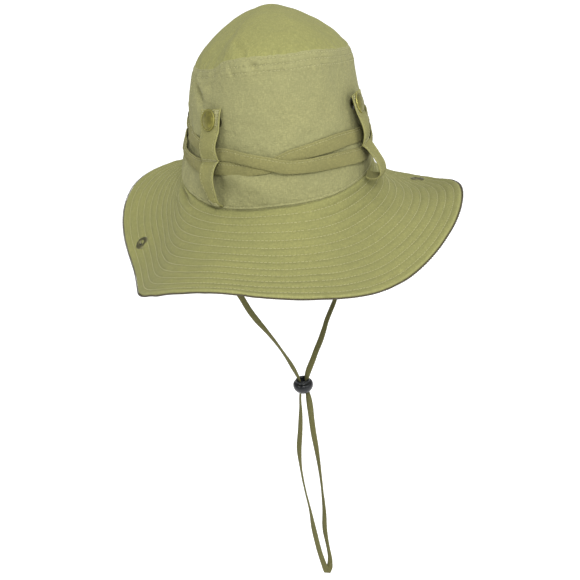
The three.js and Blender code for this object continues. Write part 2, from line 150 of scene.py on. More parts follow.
def spline(points, count):
    """A smooth curve through points, as evenly spaced points."""
    points = np.asarray(points, float)
    steps = np.linalg.norm(np.diff(points, axis=0), axis=1) ** 0.75
    knots = np.concatenate([[0], np.cumsum(steps)])
    slopes = np.zeros_like(points)
    slopes[1:-1] = (points[2:] - points[:-2]) / (knots[2:] - knots[:-2])[:, None]
    slopes[0] = (points[1] - points[0]) / steps[0]
    slopes[-1] = (points[-1] - points[-2]) / steps[-1]

    def curve(at):
        i = np.clip(np.searchsorted(knots, at, side="right") - 1, 0, len(points) - 2)
        span = (knots[i + 1] - knots[i])[:, None]
        s = (at - knots[i])[:, None] / span
        return hermite(s, span, points[i], points[i + 1], slopes[i], slopes[i + 1])

    dense = np.linspace(0, knots[-1], 24 * len(points))
    travelled = run(curve(dense))
    return curve(np.interp(np.linspace(0, travelled[-1], count), travelled, dense))


def sample(vectors, at, distance):
    """Vectors given at distance, read at other distances."""
    return np.stack([np.interp(at, distance, column) for column in vectors.T], -1)


def table_value(x, pairs):
    return np.interp(x, *zip(*pairs))


def smoothed(values, reach):
    """Running mean over reach neighbours each way."""
    width = 2 * reach + 1
    return np.convolve(np.pad(values, reach, mode="edge"), np.ones(width) / width, "valid")


def noise(points, size, seed):
    """Smooth value noise, about -1 to 1, of points in mm."""
    grid = np.random.RandomState(seed).uniform(-1, 1, (24, 24, 24))
    scaled = np.asarray(points, float) / size + seed * 3.7
    cell = np.floor(scaled).astype(int)
    f = scaled - cell
    f = f * f * f * (f * (f * 6 - 15) + 10)
    total = 0
    for corner in np.ndindex(2, 2, 2):
        weight = np.prod(np.where(corner, f, 1 - f), -1)
        total = total + weight * grid[tuple(np.moveaxis((cell + corner) % 24, -1, 0))]
    return total * 1.6


def flat_noise(x, y, size, seed, z=0.0):
    return noise(np.stack(np.broadcast_arrays(x, y, z), -1), size, seed)


def to_frame(point):
    """A point in mm as metres in the frame."""
    return tuple((np.asarray(point, float) - ORIGIN) * MM)


def axes_matrix(x, y, z, origin):
    matrix = np.eye(4)
    matrix[:3] = np.column_stack([x, y, z, origin])
    return matrix


def transform(matrix, points):
    return np.asarray(points, float) @ matrix[:3, :3].T + matrix[:3, 3]


# --------------------------------------------------------------- surfaces of the hat
def seam_rise(angle):
    """The crown's lower seam bows up a little at the front."""
    return 3.0 * bump(to_degrees(angle), -14, 24)


def brim_seam(angle):
    cos1, sin1, cos2, sin2 = SEAM_WAVE
    wave = cos1 * np.cos(angle) + sin1 * np.sin(angle)
    wave = wave + cos2 * np.cos(2 * angle) + sin2 * np.sin(2 * angle)
    x, y = SEAM_RX * np.sin(angle), -SEAM_RY * np.cos(angle)
    return np.stack([x, y, seam_rise(angle) + wave], -1)


def tip_seam(angle):
    x, y = TIP_SHIFT_X + TIP_RX * np.sin(angle), -TIP_RY * np.cos(angle)
    degrees = to_degrees(angle)
    drape = 4.6 * ease(-60, -46, degrees) * ease(6, -44, degrees)
    drape = drape - 1.8 * ease(12, 48, degrees) * ease(150, 110, degrees)
    z = TIP_HEIGHT + TIP_SADDLE * np.cos(2 * angle) + TIP_TILT_X * x + TIP_TILT_Y * y + drape
    return np.stack([x, y, z], -1)


def wall_length(angle):
    return np.linalg.norm(tip_seam(angle) - brim_seam(angle), axis=-1)


def wall_frame(angle, up):
    """Point, direction round the crown, direction up the wall and outward normal."""
    angle, up = np.broadcast_arrays(np.asarray(angle, float), np.asarray(up, float))
    low, high = brim_seam(angle), tip_seam(angle)
    share = (up / np.linalg.norm(high - low, axis=-1))[..., None]
    e = 1e-3
    low_step = brim_seam(angle + e) - brim_seam(angle - e)
    high_step = tip_seam(angle + e) - tip_seam(angle - e)
    around = unit(low_step * (1 - share) + high_step * share)
    normal = unit(np.cross(around, unit(high - low)))
    return low * (1 - share) + high * share, around, np.cross(normal, around), normal


def dome(angle, share):
    """The crown tip; share is 0 at its centre and 1 at its seam."""
    seam = tip_seam(angle)
    centre_z = TIP_HEIGHT + TIP_TILT_X * TIP_SHIFT_X
    x = TIP_SHIFT_X + (seam[..., 0] - TIP_SHIFT_X) * share
    y = seam[..., 1] * share
    z = centre_z + (seam[..., 2] - centre_z) * share + DOME_RISE * (1 - share**DOME_POWER)
    dimple = 1.1 * np.exp(-((x + 4) ** 2 + (y - 19) ** 2) / 130.0)
    return np.stack([x, y, z - dimple], -1)


def brim_tables():
    """Brim by angle and distance out from its seam: points, normals, directions round and
    out, the flat layout for the run of its weave, and the distances."""
    columns, rows = 1440, 391
    angle = np.arange(columns) / columns * 2 * pi
    outs = np.linspace(-1.5, BRIM_WIDTH + 2, rows)
    # a soft limit keeps the slope under SLOPE_MAX
    slope_in = SLOPE_MAX - 4 * np.log(1 + np.exp((SLOPE_MAX - fourier(SLOPE_IN, angle)) / 4))
    slope_out, bow = fourier(SLOPE_OUT, angle), fourier(SLOPE_BOW, angle)
    share = (outs[1:] + outs[:-1]) / 2 / BRIM_WIDTH
    slope = slope_in[:, None] + (slope_out - slope_in)[:, None] * share
    slope = np.radians(slope + bow[:, None] * 4 * share * (1 - share))
    step = outs[1] - outs[0]
    start = np.zeros((columns, 1))
    spread = np.concatenate([start, np.cumsum(np.cos(slope) * step, 1)], 1)
    rise = np.concatenate([start, -np.cumsum(np.sin(slope) * step, 1)], 1)
    # both are measured from the seam
    at_seam = np.interp(0, outs, np.arange(rows))
    i, f = int(at_seam), at_seam - int(at_seam)
    spread -= (spread[:, i] * (1 - f) + spread[:, i + 1] * f)[:, None]
    rise -= (rise[:, i] * (1 - f) + rise[:, i + 1] * f)[:, None]
    seam = brim_seam(angle)[:, None]
    outward = np.stack([np.sin(angle) / SEAM_RX, -np.cos(angle) / SEAM_RY, 0 * angle], -1)
    outward = unit(outward)[:, None]
    points = seam + outward * spread[..., None]
    points[..., 2] += rise - seam_rise(angle)[:, None] * ease(0, 34, outs)[None]
    flat = seam[..., :2] + outward[..., :2] * outs[None, :, None]
    around = np.roll(points, -1, 0) - np.roll(points, 1, 0)
    out = np.gradient(points, axis=1)
    return points, unit(np.cross(out, around)), unit(around), unit(out), flat, outs


BRIM_POINTS, BRIM_NORMALS, BRIM_AROUND, BRIM_OUT, BRIM_FLAT, BRIM_OUTS = brim_tables()


def brim_at(table, angle, out):
    """A brim table read between its stations."""
    columns, rows = table.shape[:2]
    x = (np.asarray(angle, float) / (2 * pi) * columns) % columns
    y = (np.asarray(out, float) - BRIM_OUTS[0]) / (BRIM_OUTS[1] - BRIM_OUTS[0])
    x, y = np.broadcast_arrays(x, np.clip(y, 0, rows - 1.001))
    i, j = x.astype(int), y.astype(int)
    fx, fy = (x - i)[..., None], (y - j)[..., None]
    i, i2 = i % columns, (i + 1) % columns
    near = table[i, j] * (1 - fx) + table[i2, j] * fx
    far = table[i, j + 1] * (1 - fx) + table[i2, j + 1] * fx
    return near * (1 - fy) + far * fy


# --------------------------------------------------------------------- mesh builders
def make_mesh(name, points, quads, material, tris=None, quad_uv=None, tri_uv=None, sharp=None):
    """A smooth object from points in mm. UVs are one pair a face corner, in metres."""
    points = (points.reshape(-1, 3) - ORIGIN) * MM
    tris = np.zeros((0, 3), int) if tris is None else tris
    uvs = [uv for uv in (quad_uv, tri_uv) if uv is not None]
    # turn the faces out
    a, b, c = points[np.concatenate([quads[:, :3], quads[:, [0, 2, 3]], tris]).T]
    if np.einsum("ij,ij->i", a, np.cross(b, c)).sum() < 0:
        quads, tris = quads[:, ::-1], tris[:, ::-1]
        uvs = [uv[:, ::-1] for uv in uvs]
    mesh = bpy.data.meshes.new(name)
    mesh.vertices.add(len(points))
    mesh.vertices.foreach_set("co", points.ravel())
    corners = np.concatenate([quads.ravel(), tris.ravel()])
    mesh.loops.add(len(corners))
    mesh.loops.foreach_set("vertex_index", corners.astype(np.int32))
    tri_starts = len(quads) * 4 + np.arange(len(tris)) * 3
    starts = np.concatenate([np.arange(len(quads)) * 4, tri_starts])
    mesh.polygons.add(len(starts))
    mesh.polygons.foreach_set("loop_start", starts.astype(np.int32))
    mesh.polygons.foreach_set("use_smooth", np.full(len(starts), True))
    if uvs:
        layer = mesh.uv_layers.new(name="UVMap")
        layer.data.foreach_set("uv", np.concatenate([uv.ravel() for uv in uvs]))
    mesh.update(calc_edges=True)
    mesh.validate()
    if sharp:
        mesh.set_sharp_from_angle(angle=radians(sharp))
    mesh.materials.append(material)
    return link(name, mesh)


def link(name, data):
    ob = bpy.data.objects.new(name, data)
    bpy.context.scene.collection.objects.link(ob)
    return ob


def sleeve(name, sections, uv, material, wrap=False, sharp=None):
    """A body through closed sections (stations, points, 3), its ends closed by ladders of
    quads. uv, in mm, has one more point a section, and one more station if it wraps."""
    n, m = sections.shape[:2]
    i = np.arange(n if wrap else n - 1)[:, None]
    j = np.arange(m)[None, :]
    i2, j2 = (i + 1) % n, (j + 1) % m
    quads = np.stack([i * m + j, i2 * m + j, i2 * m + j2, i * m + j2], -1).reshape(-1, 4)
    uv = uv * MM
    quad_uv = np.stack([uv[:-1, :-1], uv[1:, :-1], uv[1:, 1:], uv[:-1, 1:]], -2)
    quad_uv = quad_uv.reshape(-1, 4, 2)
    if not wrap:
        k = np.arange(m // 2 - 1)
        first = np.stack([k, k + 1, m - 2 - k, m - 1 - k], -1)
        last = first[:, ::-1]
        quads = np.concatenate([quads, first, (n - 1) * m + last])
        quad_uv = np.concatenate([quad_uv, uv[0, first], uv[n - 1, last]])
    return make_mesh(name, sections, quads, material, quad_uv=quad_uv, sharp=sharp)


def rim(start, end, outward):
    """Two points of a half-round edge from start to end, bulging along outward."""
    radius = np.linalg.norm(end - start, axis=-1, keepdims=True) / 2
    middle = (start + end) / 2
    return np.stack([
        middle + (start - middle) * math.cos(a) + outward * radius * math.sin(a)
        for a in (pi / 3, 2 * pi / 3)
    ], 1)


def sheet(name, top, under, uv, material, wrap=False, sharp=None):
    """A closed cloth between two faces (n, m, 3), with half-round edges at both ends of m.
    uv, in mm, is (n, m, 2), or (n + 1, m, 2) if it wraps."""
    end_rim = rim(top[:, -1], under[:, -1], unit(top[:, -1] - top[:, -2]))
    start_rim = rim(under[:, 0], top[:, 0], unit(top[:, 0] - top[:, 1]))
    sections = [start_rim[:, 1:], top, end_rim, under[:, ::-1], start_rim[:, :1]]
    step = np.array([0, 0.4])
    start, end = uv[:, :1], uv[:, -1:]
    uvs = [start - step, uv, end + step, end + 2 * step]
    uvs += [uv[:, ::-1], start - 2 * step, start - step]
    sections, uvs = np.concatenate(sections, 1), np.concatenate(uvs, 1)
    return sleeve(name, sections, uvs, material, wrap, sharp)


def ribbon(name, centre, wide, normal, half, thick, material, relief, across,
           belly, curl=0.0, wrap=False):
    """A strip of cloth along centre. half is its half width, curl lifts its edges, belly is
    its edge thickness as a share, relief(distance, x) adds height to its upper face."""
    x = np.sin(np.linspace(-pi / 2, pi / 2, across))[None]
    offset = np.asarray(half, float)[:, None] * x
    distance = run(centre)
    distances = np.broadcast_to(distance[:, None], offset.shape)
    thickness = thick / 2 * (1 - (1 - belly) * x**2)
    middle = centre[:, None] + wide[:, None] * offset[..., None]
    middle = middle + normal[:, None] * (curl * x**2)[..., None]
    raised = thickness + relief(distances, offset)
    top = middle + normal[:, None] * raised[..., None]
    under = middle - normal[:, None] * thickness[..., None]
    uv = np.stack([distances, offset], -1)
    if wrap:
        whole = distance[-1] + np.linalg.norm(centre[0] - centre[-1])
        closing = np.stack([np.full(across, whole), offset[0]], -1)
        uv = np.concatenate([uv, closing[None]], 0)
    return sheet(name, top, under, uv, material, wrap=wrap)


def dashes(points, normals, length, gap, start=0.0):
    """Cuts a fine line into stitches: their starts, ends and normals."""
    distance = run(points)
    at = np.arange(start, distance[-1] - length, length + gap)
    middle_normals = unit(sample(normals, at + length / 2, distance))
    return sample(points, at, distance), sample(points, at + length, distance), middle_normals


def stitches(name, runs, radius, material):
    """Thread stitches from runs of (starts, ends, normals of the face they stand on)."""
    starts, ends, normals = (np.concatenate(part) for part in zip(*runs))
    count, sides = len(starts), 6
    along = unit(ends - starts)
    side = unit(np.cross(along, normals))
    normals = np.cross(side, along)
    angle = np.arange(sides) / sides * 2 * pi
    ring = side[:, None] * np.cos(angle)[None, :, None]
    ring = ring + normals[:, None] * (np.sin(angle) * 0.85)[None, :, None]
    inset = along * np.linalg.norm(ends - starts, axis=1, keepdims=True) * 0.06
    middles = (starts + ends) / 2 + normals * radius * 0.5
    centres = ((starts + inset, 0.75), (middles, 1.0), (ends - inset, 0.75))
    parts = [centre[:, None] + ring * radius * size for centre, size in centres]
    parts += [(point - normals * radius * 0.7)[:, None] for point in (starts, ends)]
    offsets = (np.arange(count) * (3 * sides + 2))[:, None, None]
    j = np.arange(sides)
    j2 = (j + 1) % sides
    quads = np.concatenate([
        np.stack([a + j, a + sides + j, a + sides + j2, a + j2], -1) for a in (0, sides)
    ])[None] + offsets
    tris = np.concatenate([
        np.stack([0 * j + 3 * sides, j, j2], -1),
        np.stack([0 * j + 3 * sides + 1, 2 * sides + j2, 2 * sides + j], -1),
    ])[None] + offsets
    # the run of the thread, for its twist
    corner = np.array([[0, 0], [0.5, 0], [0.5, 1 / sides], [0, 1 / sides]])
    uv = np.concatenate([
        corner[None] + np.stack([np.full(sides, u), j / sides], -1)[:, None] for u in (0, 0.5)
    ])
    quad_uv = (np.broadcast_to(uv[None], (count,) + uv.shape) * 0.002).reshape(-1, 4, 2)
    return make_mesh(
        name, np.concatenate(parts, 1), quads.reshape(-1, 4), material,
        tris=tris.reshape(-1, 3), quad_uv=quad_uv, tri_uv=np.zeros((count * 2 * sides, 3, 2)),
    )


def lathe(name, profile, matrix, material, segments=72, sharp=35):
    """A turned solid about the Z of matrix. profile is (radius, z), closed round a ring, or
    from axis to axis."""
    angle = np.arange(segments) / segments * 2 * pi
    points, rings, count = [], [], 0
    for radius, z in profile:
        if radius < 1e-6:
            ring = np.array([[0, 0, z]])
        else:
            x, y = radius * np.cos(angle), radius * np.sin(angle)
            ring = np.stack([x, y, np.full(segments, z)], -1)
        rings.append(count + np.arange(segments) % len(ring))
        points.append(ring)
        count += len(ring)
    single = [len(ring) == 1 for ring in points]
    quads, tris = [], []
    for i in range(len(rings) - 1 if any(single) else len(rings)):
        following = (i + 1) % len(rings)
        a, b = rings[i], rings[following]
        if single[i]:
            tris.append(np.stack([a, b, np.roll(b, -1)], -1))
        elif single[following]:
            tris.append(np.stack([a, b, np.roll(a, -1)], -1))
        else:
            quads.append(np.stack([a, b, np.roll(b, -1), np.roll(a, -1)], -1))
    return make_mesh(
        name, transform(matrix, np.concatenate(points)), np.concatenate(quads), material,
        tris=np.concatenate(tris) if tris else None, sharp=sharp,
    )


def ride(ob, body, slot, *nodes):
    """The object moves with a body and stands for the given CAD pieces."""
    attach(ob, body)
    if nodes:
        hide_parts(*nodes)


def bend(ob, body, ends, slot, *nodes):
    """Bakes the object's transform and hides the given CAD pieces; body and ends are not used."""
    if nodes:
        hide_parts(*nodes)
    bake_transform(ob)


# ------------------------------------------------------------------------- materials
DYE = (0.61, 0.615, 0.565)  # from a lit cloth's colour to its albedo


def linear(srgb):
    """Linear colour of an sRGB one, 0 to 255, above the curve's straight foot."""
    return tuple(((value / 255 + 0.055) / 1.055) ** 2.4 for value in srgb)


def dyed(srgb):
    return tuple(value * dye for value, dye in zip(linear(srgb), DYE))


def shade(color, factor, lift=0.0):
    return tuple(value * factor + lift for value in color)


class Graph:
    """A short way to write a node material."""

    def __init__(self, name):
        self.material = bpy.data.materials.new(name)
        self.material.use_nodes = True
        self.tree = self.material.node_tree
        self.tree.nodes.clear()
        output = self.node("ShaderNodeOutputMaterial")
        self.surface = self.node("ShaderNodeBsdfPrincipled")
        self.tree.links.new(self.surface.outputs[0], output.inputs[0])

    def node(self, kind, **inputs):
        """A new node; an input's name is written with _ for a space."""
        node = self.tree.nodes.new(kind)
        self.fill(node, **inputs)
        return node

    def fill(self, node, **inputs):
        for name, value in inputs.items():
            self.put(node.inputs[name.replace("_", " ")], value)

    def set(self, **inputs):
        self.fill(self.surface, **inputs)

    def put(self, socket, value):
        if isinstance(value, bpy.types.NodeSocket):
            self.tree.links.new(value, socket)
        elif isinstance(value, tuple):
            socket.default_value = value + (1.0,) * (len(socket.default_value) - len(value))
        else:
            socket.default_value = value

    def math(self, operation, a, b=0.0):
        node = self.node("ShaderNodeMath")
        node.operation = operation
        for socket, value in zip(node.inputs, (a, b, 0.0)):
            self.put(socket, value)
        return node.outputs[0]

    def add(self, a, b):
        return self.math("ADD", a, b)

    def times(self, a, b):
        return self.math("MULTIPLY", a, b)

    def sine(self, a):
        return self.math("SINE", a)

    def mix(self, factor, a, b):
        node = self.node("ShaderNodeMix")
        node.data_type = "RGBA"
        for index, value in ((0, factor), (6, a), (7, b)):
            self.put(node.inputs[index], value)
        return node.outputs[2]

    def noise(self, vector, scale, detail=2.0, roughness=0.5, distortion=0.0):
        return self.node("ShaderNodeTexNoise", Vector=vector, Scale=scale, Detail=detail,
                         Roughness=roughness, Distortion=distortion).outputs[0]

    def ramp(self, value, low, high, at_low=0.0, at_high=1.0):
        node = self.node("ShaderNodeMapRange")
        node.interpolation_type = "SMOOTHSTEP"
        for index, item in enumerate((value, low, high, at_low, at_high)):
            self.put(node.inputs[index], item)
        return node.outputs[0]

    def scale(self, vector, factors):
        node = self.node("ShaderNodeVectorMath")
        node.operation = "MULTIPLY"
        self.put(node.inputs[0], vector)
        node.inputs[1].default_value = factors
        return node.outputs[0]

    def streaks(self, uv, low, high, **look):
        """Noise drawn out along one thread direction plus the same along the other."""
        return self.add(*(
            self.noise(self.scale(uv, (a, b, 1.0)), scale=1.0, **look)
            for a, b in ((low, high), (high, low))
        ))

    def coords(self, kind):
        return self.node("ShaderNodeTexCoord").outputs[kind]

    def split(self, vector):
        return self.node("ShaderNodeSeparateXYZ", Vector=vector).outputs

    def bump(self, height, distance, strength=1.0, normal=None):
        inputs = {} if normal is None else {"Normal": normal}
        return self.node("ShaderNodeBump", Height=height, Distance=distance,
                         Strength=strength, **inputs).outputs[0]

    def edges(self):
        return self.node("ShaderNodeNewGeometry").outputs["Pointiness"]


def cloth(name, srgb, pitch=0.00052, weave="twill", depth=0.00009, mottle=0.03, sheen=0.03,
          roughness=0.94, crumple=0.0, halved=False):
    """Woven cotton: thread relief, faded ridges, painted shade in the hollows, slubs and
    uneven dye. pitch, depth and crumple are in metres. halved drops the worn ridges and the
    painted hollow shade at x = 0, where two halves meet."""
    g = Graph(name)
    uv, place = g.coords("UV"), g.coords("Object")
    u, v, _ = g.split(uv)
    turns = 2 * pi / pitch
    warp = g.sine(g.times(u, turns))
    weft = g.sine(g.times(v, turns))
    if weave == "twill":
        diagonal = g.sine(g.times(g.add(u, v), turns * 0.5))
        threads = g.add(g.times(g.times(warp, weft), 0.35), g.times(diagonal, 0.5))
    elif weave == "rib":
        threads = g.add(g.times(warp, 0.7), g.times(weft, 0.15))
    else:
        threads = g.times(warp, weft)
    slub = g.streaks(uv, 260.0, 2600.0)
    blotch = g.noise(place, scale=38.0, detail=4.0, roughness=0.6)
    fine = g.noise(place, scale=420.0, roughness=0.6)
    base = dyed(srgb)

    # uneven dye, warmer where light
    light = tuple(c * (1 + 1.8 * mottle) * warm for c, warm in zip(base, (1.02, 1.0, 0.96)))
    color = g.mix(g.ramp(blotch, 0.3, 0.7), shade(base, 1 - 2.2 * mottle), light)
    # coarse threads, dark then light
    coarse = g.streaks(uv, 330.0, 1150.0, roughness=0.55, distortion=0.3)
    color = g.mix(g.ramp(coarse, 0.72, 1.28), shade(base, 0.84), color)
    color = g.mix(g.ramp(coarse, 0.98, 1.4, at_high=0.5), color, shade(base, 1.352))
    # pale flecks
    grain = g.add(g.times(slub, 0.35), g.times(fine, 0.30))
    color = g.mix(g.ramp(grain, 0.35, 0.75, at_high=0.22), color, shade(base, 1.45))
    # tops of the threads
    crest = g.times(g.ramp(threads, -0.7, 0.7), 0.16)
    color = g.mix(crest, g.mix(0.10, color, (0.0, 0.0, 0.0)), shade(base, 1.3))
    # worn ridges, and painted shade that darkens the hollows and creases
    keep = 1.0
    if halved:
        x, _, _ = g.split(place)
        keep = g.ramp(g.math("ABSOLUTE", g.add(x, ORIGIN[0] * MM)), 0.0012, 0.0035)
    ridge = g.times(keep, g.ramp(g.edges(), 0.505, 0.56, at_high=0.3))
    color = g.mix(ridge, color, shade(base, 1.35, lift=0.02))
    # painted shade: the cloth is darkened where its surface is hollow
    painted_hollow_shade = g.times(keep, g.ramp(g.edges(), 0.495, 0.44, at_high=0.35))
    color = g.mix(painted_hollow_shade, color, shade(base, 0.62))

    normal = None
    if crumple:
        crumples = g.noise(place, scale=70.0, detail=5.0, roughness=0.6, distortion=0.5)
        normal = g.bump(crumples, crumple)
    normal = g.bump(coarse, 0.00016, strength=0.7, normal=normal)
    normal = g.bump(g.add(threads, g.times(slub, 0.8)), depth, strength=0.6, normal=normal)
    g.set(
        Base_Color=color,
        Roughness=g.ramp(fine, 0.2, 0.8, roughness - 0.05, roughness + 0.05),
        Normal=normal,
        Sheen_Weight=sheen,
        Sheen_Roughness=0.6,
        Sheen_Tint=(0.95, 0.93, 0.8),
        Specular_IOR_Level=0.12,
    )
    return g.material


def thread(name, srgb):
    """Twisted sewing thread."""
    g = Graph(name)
    u, v, _ = g.split(g.coords("UV"))
    twist = g.sine(g.add(g.times(u, 2 * pi / 0.00045), g.times(v, 2 * pi / 0.002)))
    base = dyed(srgb)
    color = g.mix(g.ramp(twist, -1, 1), shade(base, 0.78), shade(base, 1.18))
    blotch = g.noise(g.coords("Object"), scale=300.0)
    color = g.mix(g.ramp(blotch, 0.3, 0.7, at_high=0.35), color, shade(base, 0.72))
    normal = g.bump(twist, 0.00004, strength=0.8)
    g.set(Base_Color=color, Roughness=0.75, Normal=normal, Sheen_Weight=0.15)
    return g.material


def brass(name, srgb, roughness=0.42):
    """Dull metal with patina, scuffs and bright edges."""
    g = Graph(name)
    place = g.coords("Object")
    base = linear(srgb)
    patina = g.noise(place, scale=260.0, detail=5.0, roughness=0.65)
    scuff = g.noise(g.scale(place, (1.0, 1.0, 6.0)), scale=520.0, detail=3.0)
    color = g.mix(g.ramp(patina, 0.35, 0.7), shade(base, 0.72), shade(base, 1.25))
    bright = g.ramp(g.edges(), 0.51, 0.60, at_high=0.6)
    g.set(
        Base_Color=g.mix(bright, color, shade(base, 2.2, lift=0.05)),
        Metallic=g.ramp(patina, 0.2, 0.8, 0.75, 0.95),
        Roughness=g.ramp(scuff, 0.25, 0.75, roughness - 0.08, roughness + 0.14),
        Normal=g.bump(scuff, 0.00003, strength=0.6),
    )
    return g.material


def plastic(name, srgb):
    """Dark moulded plastic, lightly scuffed."""
    g = Graph(name)
    place = g.coords("Object")
    base = linear(srgb)
    fine = g.noise(place, scale=700.0, detail=3.0)
    scuff = g.noise(g.scale(place, (1.0, 1.0, 0.2)), scale=190.0, detail=4.0, roughness=0.7)
    scuffed = g.ramp(scuff, 0.45, 0.75, at_high=0.4)
    g.set(
        Base_Color=g.mix(scuffed, base, shade(base, 2.1, lift=0.01)),
        Roughness=g.ramp(scuff, 0.3, 0.7, 0.24, 0.40),
        Normal=g.bump(fine, 0.00002, strength=0.5),
        Specular_IOR_Level=0.3,
        Coat_Weight=0.08,
        Coat_Roughness=0.12,
    )
    return g.material


CROWN = cloth("crown_cotton", (172, 170, 124), crumple=0.0024)
CROWN_TIP = cloth("crown_tip_cotton", (168, 167, 109), crumple=0.0018)
BRIM = cloth("brim_cotton", (163, 162, 107), crumple=0.0008, halved=True)
# binding cloth, dark grey-brown: partly its own colour, partly painted shade of the lip's shadowed
# underside
BINDING_SHADED = cloth("binding_cotton_shaded", (98, 92, 66), weave="plain", pitch=0.0006, halved=True)
BAND = cloth("band_cotton", (155, 151, 102), crumple=0.0008)
TAB = cloth("tab_cotton", (163, 160, 105), crumple=0.0009)
SWEATBAND = cloth("sweatband_cotton", (148, 145, 102), weave="plain")
LABEL = cloth("label_satin", (196, 190, 150), weave="rib", pitch=0.00035, sheen=0.4,
              roughness=0.55, depth=0.00004, mottle=0.02)
CORD = cloth("cord_tape", (119, 116, 76), weave="rib", pitch=0.0009, depth=0.00014,
             mottle=0.08, roughness=0.85)
THREAD = thread("thread_olive", (206, 202, 150))
# dark brown thread; on the brim's lip it is partly painted shade of the groove
THREAD_DARK = thread("thread_brown", (70, 58, 38))
BRASS = brass("snap_brass", (128, 124, 62))
BRASS_DARK = brass("snap_ring_metal", (92, 90, 62), roughness=0.45)
HOLLOW = plastic("snap_inside", (30, 29, 24))
BLACK = plastic("slider_plastic", (15, 18, 21))

# --------------------------------------------------------------------- crown cloths
# Soft creases of the crown: start, end, half width, height
FOLDS = [
    ((-27.0, -50.0, 120.0), (-18.5, -77.0, 107.0), 2.8, -2.6),
    ((-33.0, -50.0, 116.0), (-23.0, -75.0, 105.0), 4.0, 1.1),
    ((-36.5, -58.0, 112.0), (-31.5, -68.0, 95.0), 1.5, -0.7),
    ((-34.0, -59.0, 112.0), (-28.5, -70.0, 96.0), 1.4, 0.5),
    ((-44.5, -46.0, 109.0), (-40.0, -57.0, 93.0), 1.5, -0.6),
    ((-59.5, -12.0, 84.0), (-57.5, -36.0, 72.0), 4.0, -3.4),
    ((-60.5, -14.0, 92.0), (-55.0, -42.0, 82.0), 3.6, 1.8),
    ((-55.0, -62.0, 28.0), (-20.0, -95.0, 15.0), 6.0, 1.5),
    ((-50.0, -70.0, 34.0), (-5.0, -97.0, 24.0), 5.0, -1.2),
    ((20.0, -92.0, 60.0), (62.0, -50.0, 44.0), 7.0, 0.8),
    ((10.0, -95.0, 52.0), (60.0, -55.0, 66.0), 5.0, -0.6),
    ((50.0, -62.0, 20.0), (25.0, -94.0, 8.0), 6.0, 0.8),
    ((-45.0, -62.0, 78.0), (-15.0, -88.0, 66.0), 8.0, 0.7),
    ((60.0, 40.0, 30.0), (30.0, 85.0, 14.0), 6.0, 1.3),
    ((62.0, 40.0, 70.0), (20.0, 84.0, 84.0), 6.0, -1.2),
    ((-50.0, 62.0, 22.0), (-10.0, 97.0, 34.0), 6.0, 1.2),
    ((-48.0, 58.0, 66.0), (-12.0, 86.0, 58.0), 5.0, -1.0),
    ((70.0, 10.0, 50.0), (74.0, -18.0, 24.0), 5.0, 0.9),
    ((-64.0, 12.0, 60.0), (-72.0, 26.0, 22.0), 5.0, 0.9),
]
# Wall vertex rows: heights above the brim seam, and depths below the tip seam
LOW_ROWS = np.array([-0.7, -0.2, 0.3, 0.7, 1.1, 1.6, 2.1, 2.7, 3.4])
HIGH_ROWS = np.array([
    0.25, 0.6, 1.0, 1.5, 2.1, 2.8, 3.6, 4.6, 5.5, 6.1, 6.7,
    7.4, 8.4, 9.5, 10.5, 11.1, 11.7, 12.3, 12.7, 13.2, 13.8, 14.8,
])
MIDDLE_ROWS = 66
TIP_EDGE_ROWS = np.array([0.25, 0.6, 1.0, 1.5, 2.1, 2.8, 3.6, 4.6, 5.8])  # in from its seam


def folds(points):
    height = np.zeros(points.shape[:-1])
    for start, end, width, size in FOLDS:
        start, end = np.array(start), np.array(end)
        length = np.linalg.norm(end - start)
        along = (end - start) / length
        travelled = (points - start) @ along
        away = np.linalg.norm(points - start - travelled[..., None] * along, axis=-1)
        fade = np.clip(1 - ((travelled / length - 0.5) / 0.68) ** 2, 0, 1) ** 1.4
        height = height + size * fade * np.exp(-((away / width) ** 2))
    return height


def slump(points):
    """Broad, soft unevenness of the crown."""
    coarse = 0.8 * noise(points, size=46, seed=1) + 0.55 * noise(points, size=19, seed=2)
    return coarse + 0.22 * noise(points * np.array([1, 1, 0.7]), size=8.5, seed=3)


def shoulder(angle, away):
    """The turn from wall to tip is rounded, more on the wearer's left. away is the distance
    from the tip seam."""
    degrees = to_degrees(angle)
    radius = 34.0 + 10.0 * ease(20, 60, degrees) * ease(150, 110, np.abs(degrees))
    return -0.052 * radius * np.clip(1 - np.abs(away) / (radius * 0.33), 0, 1) ** 2


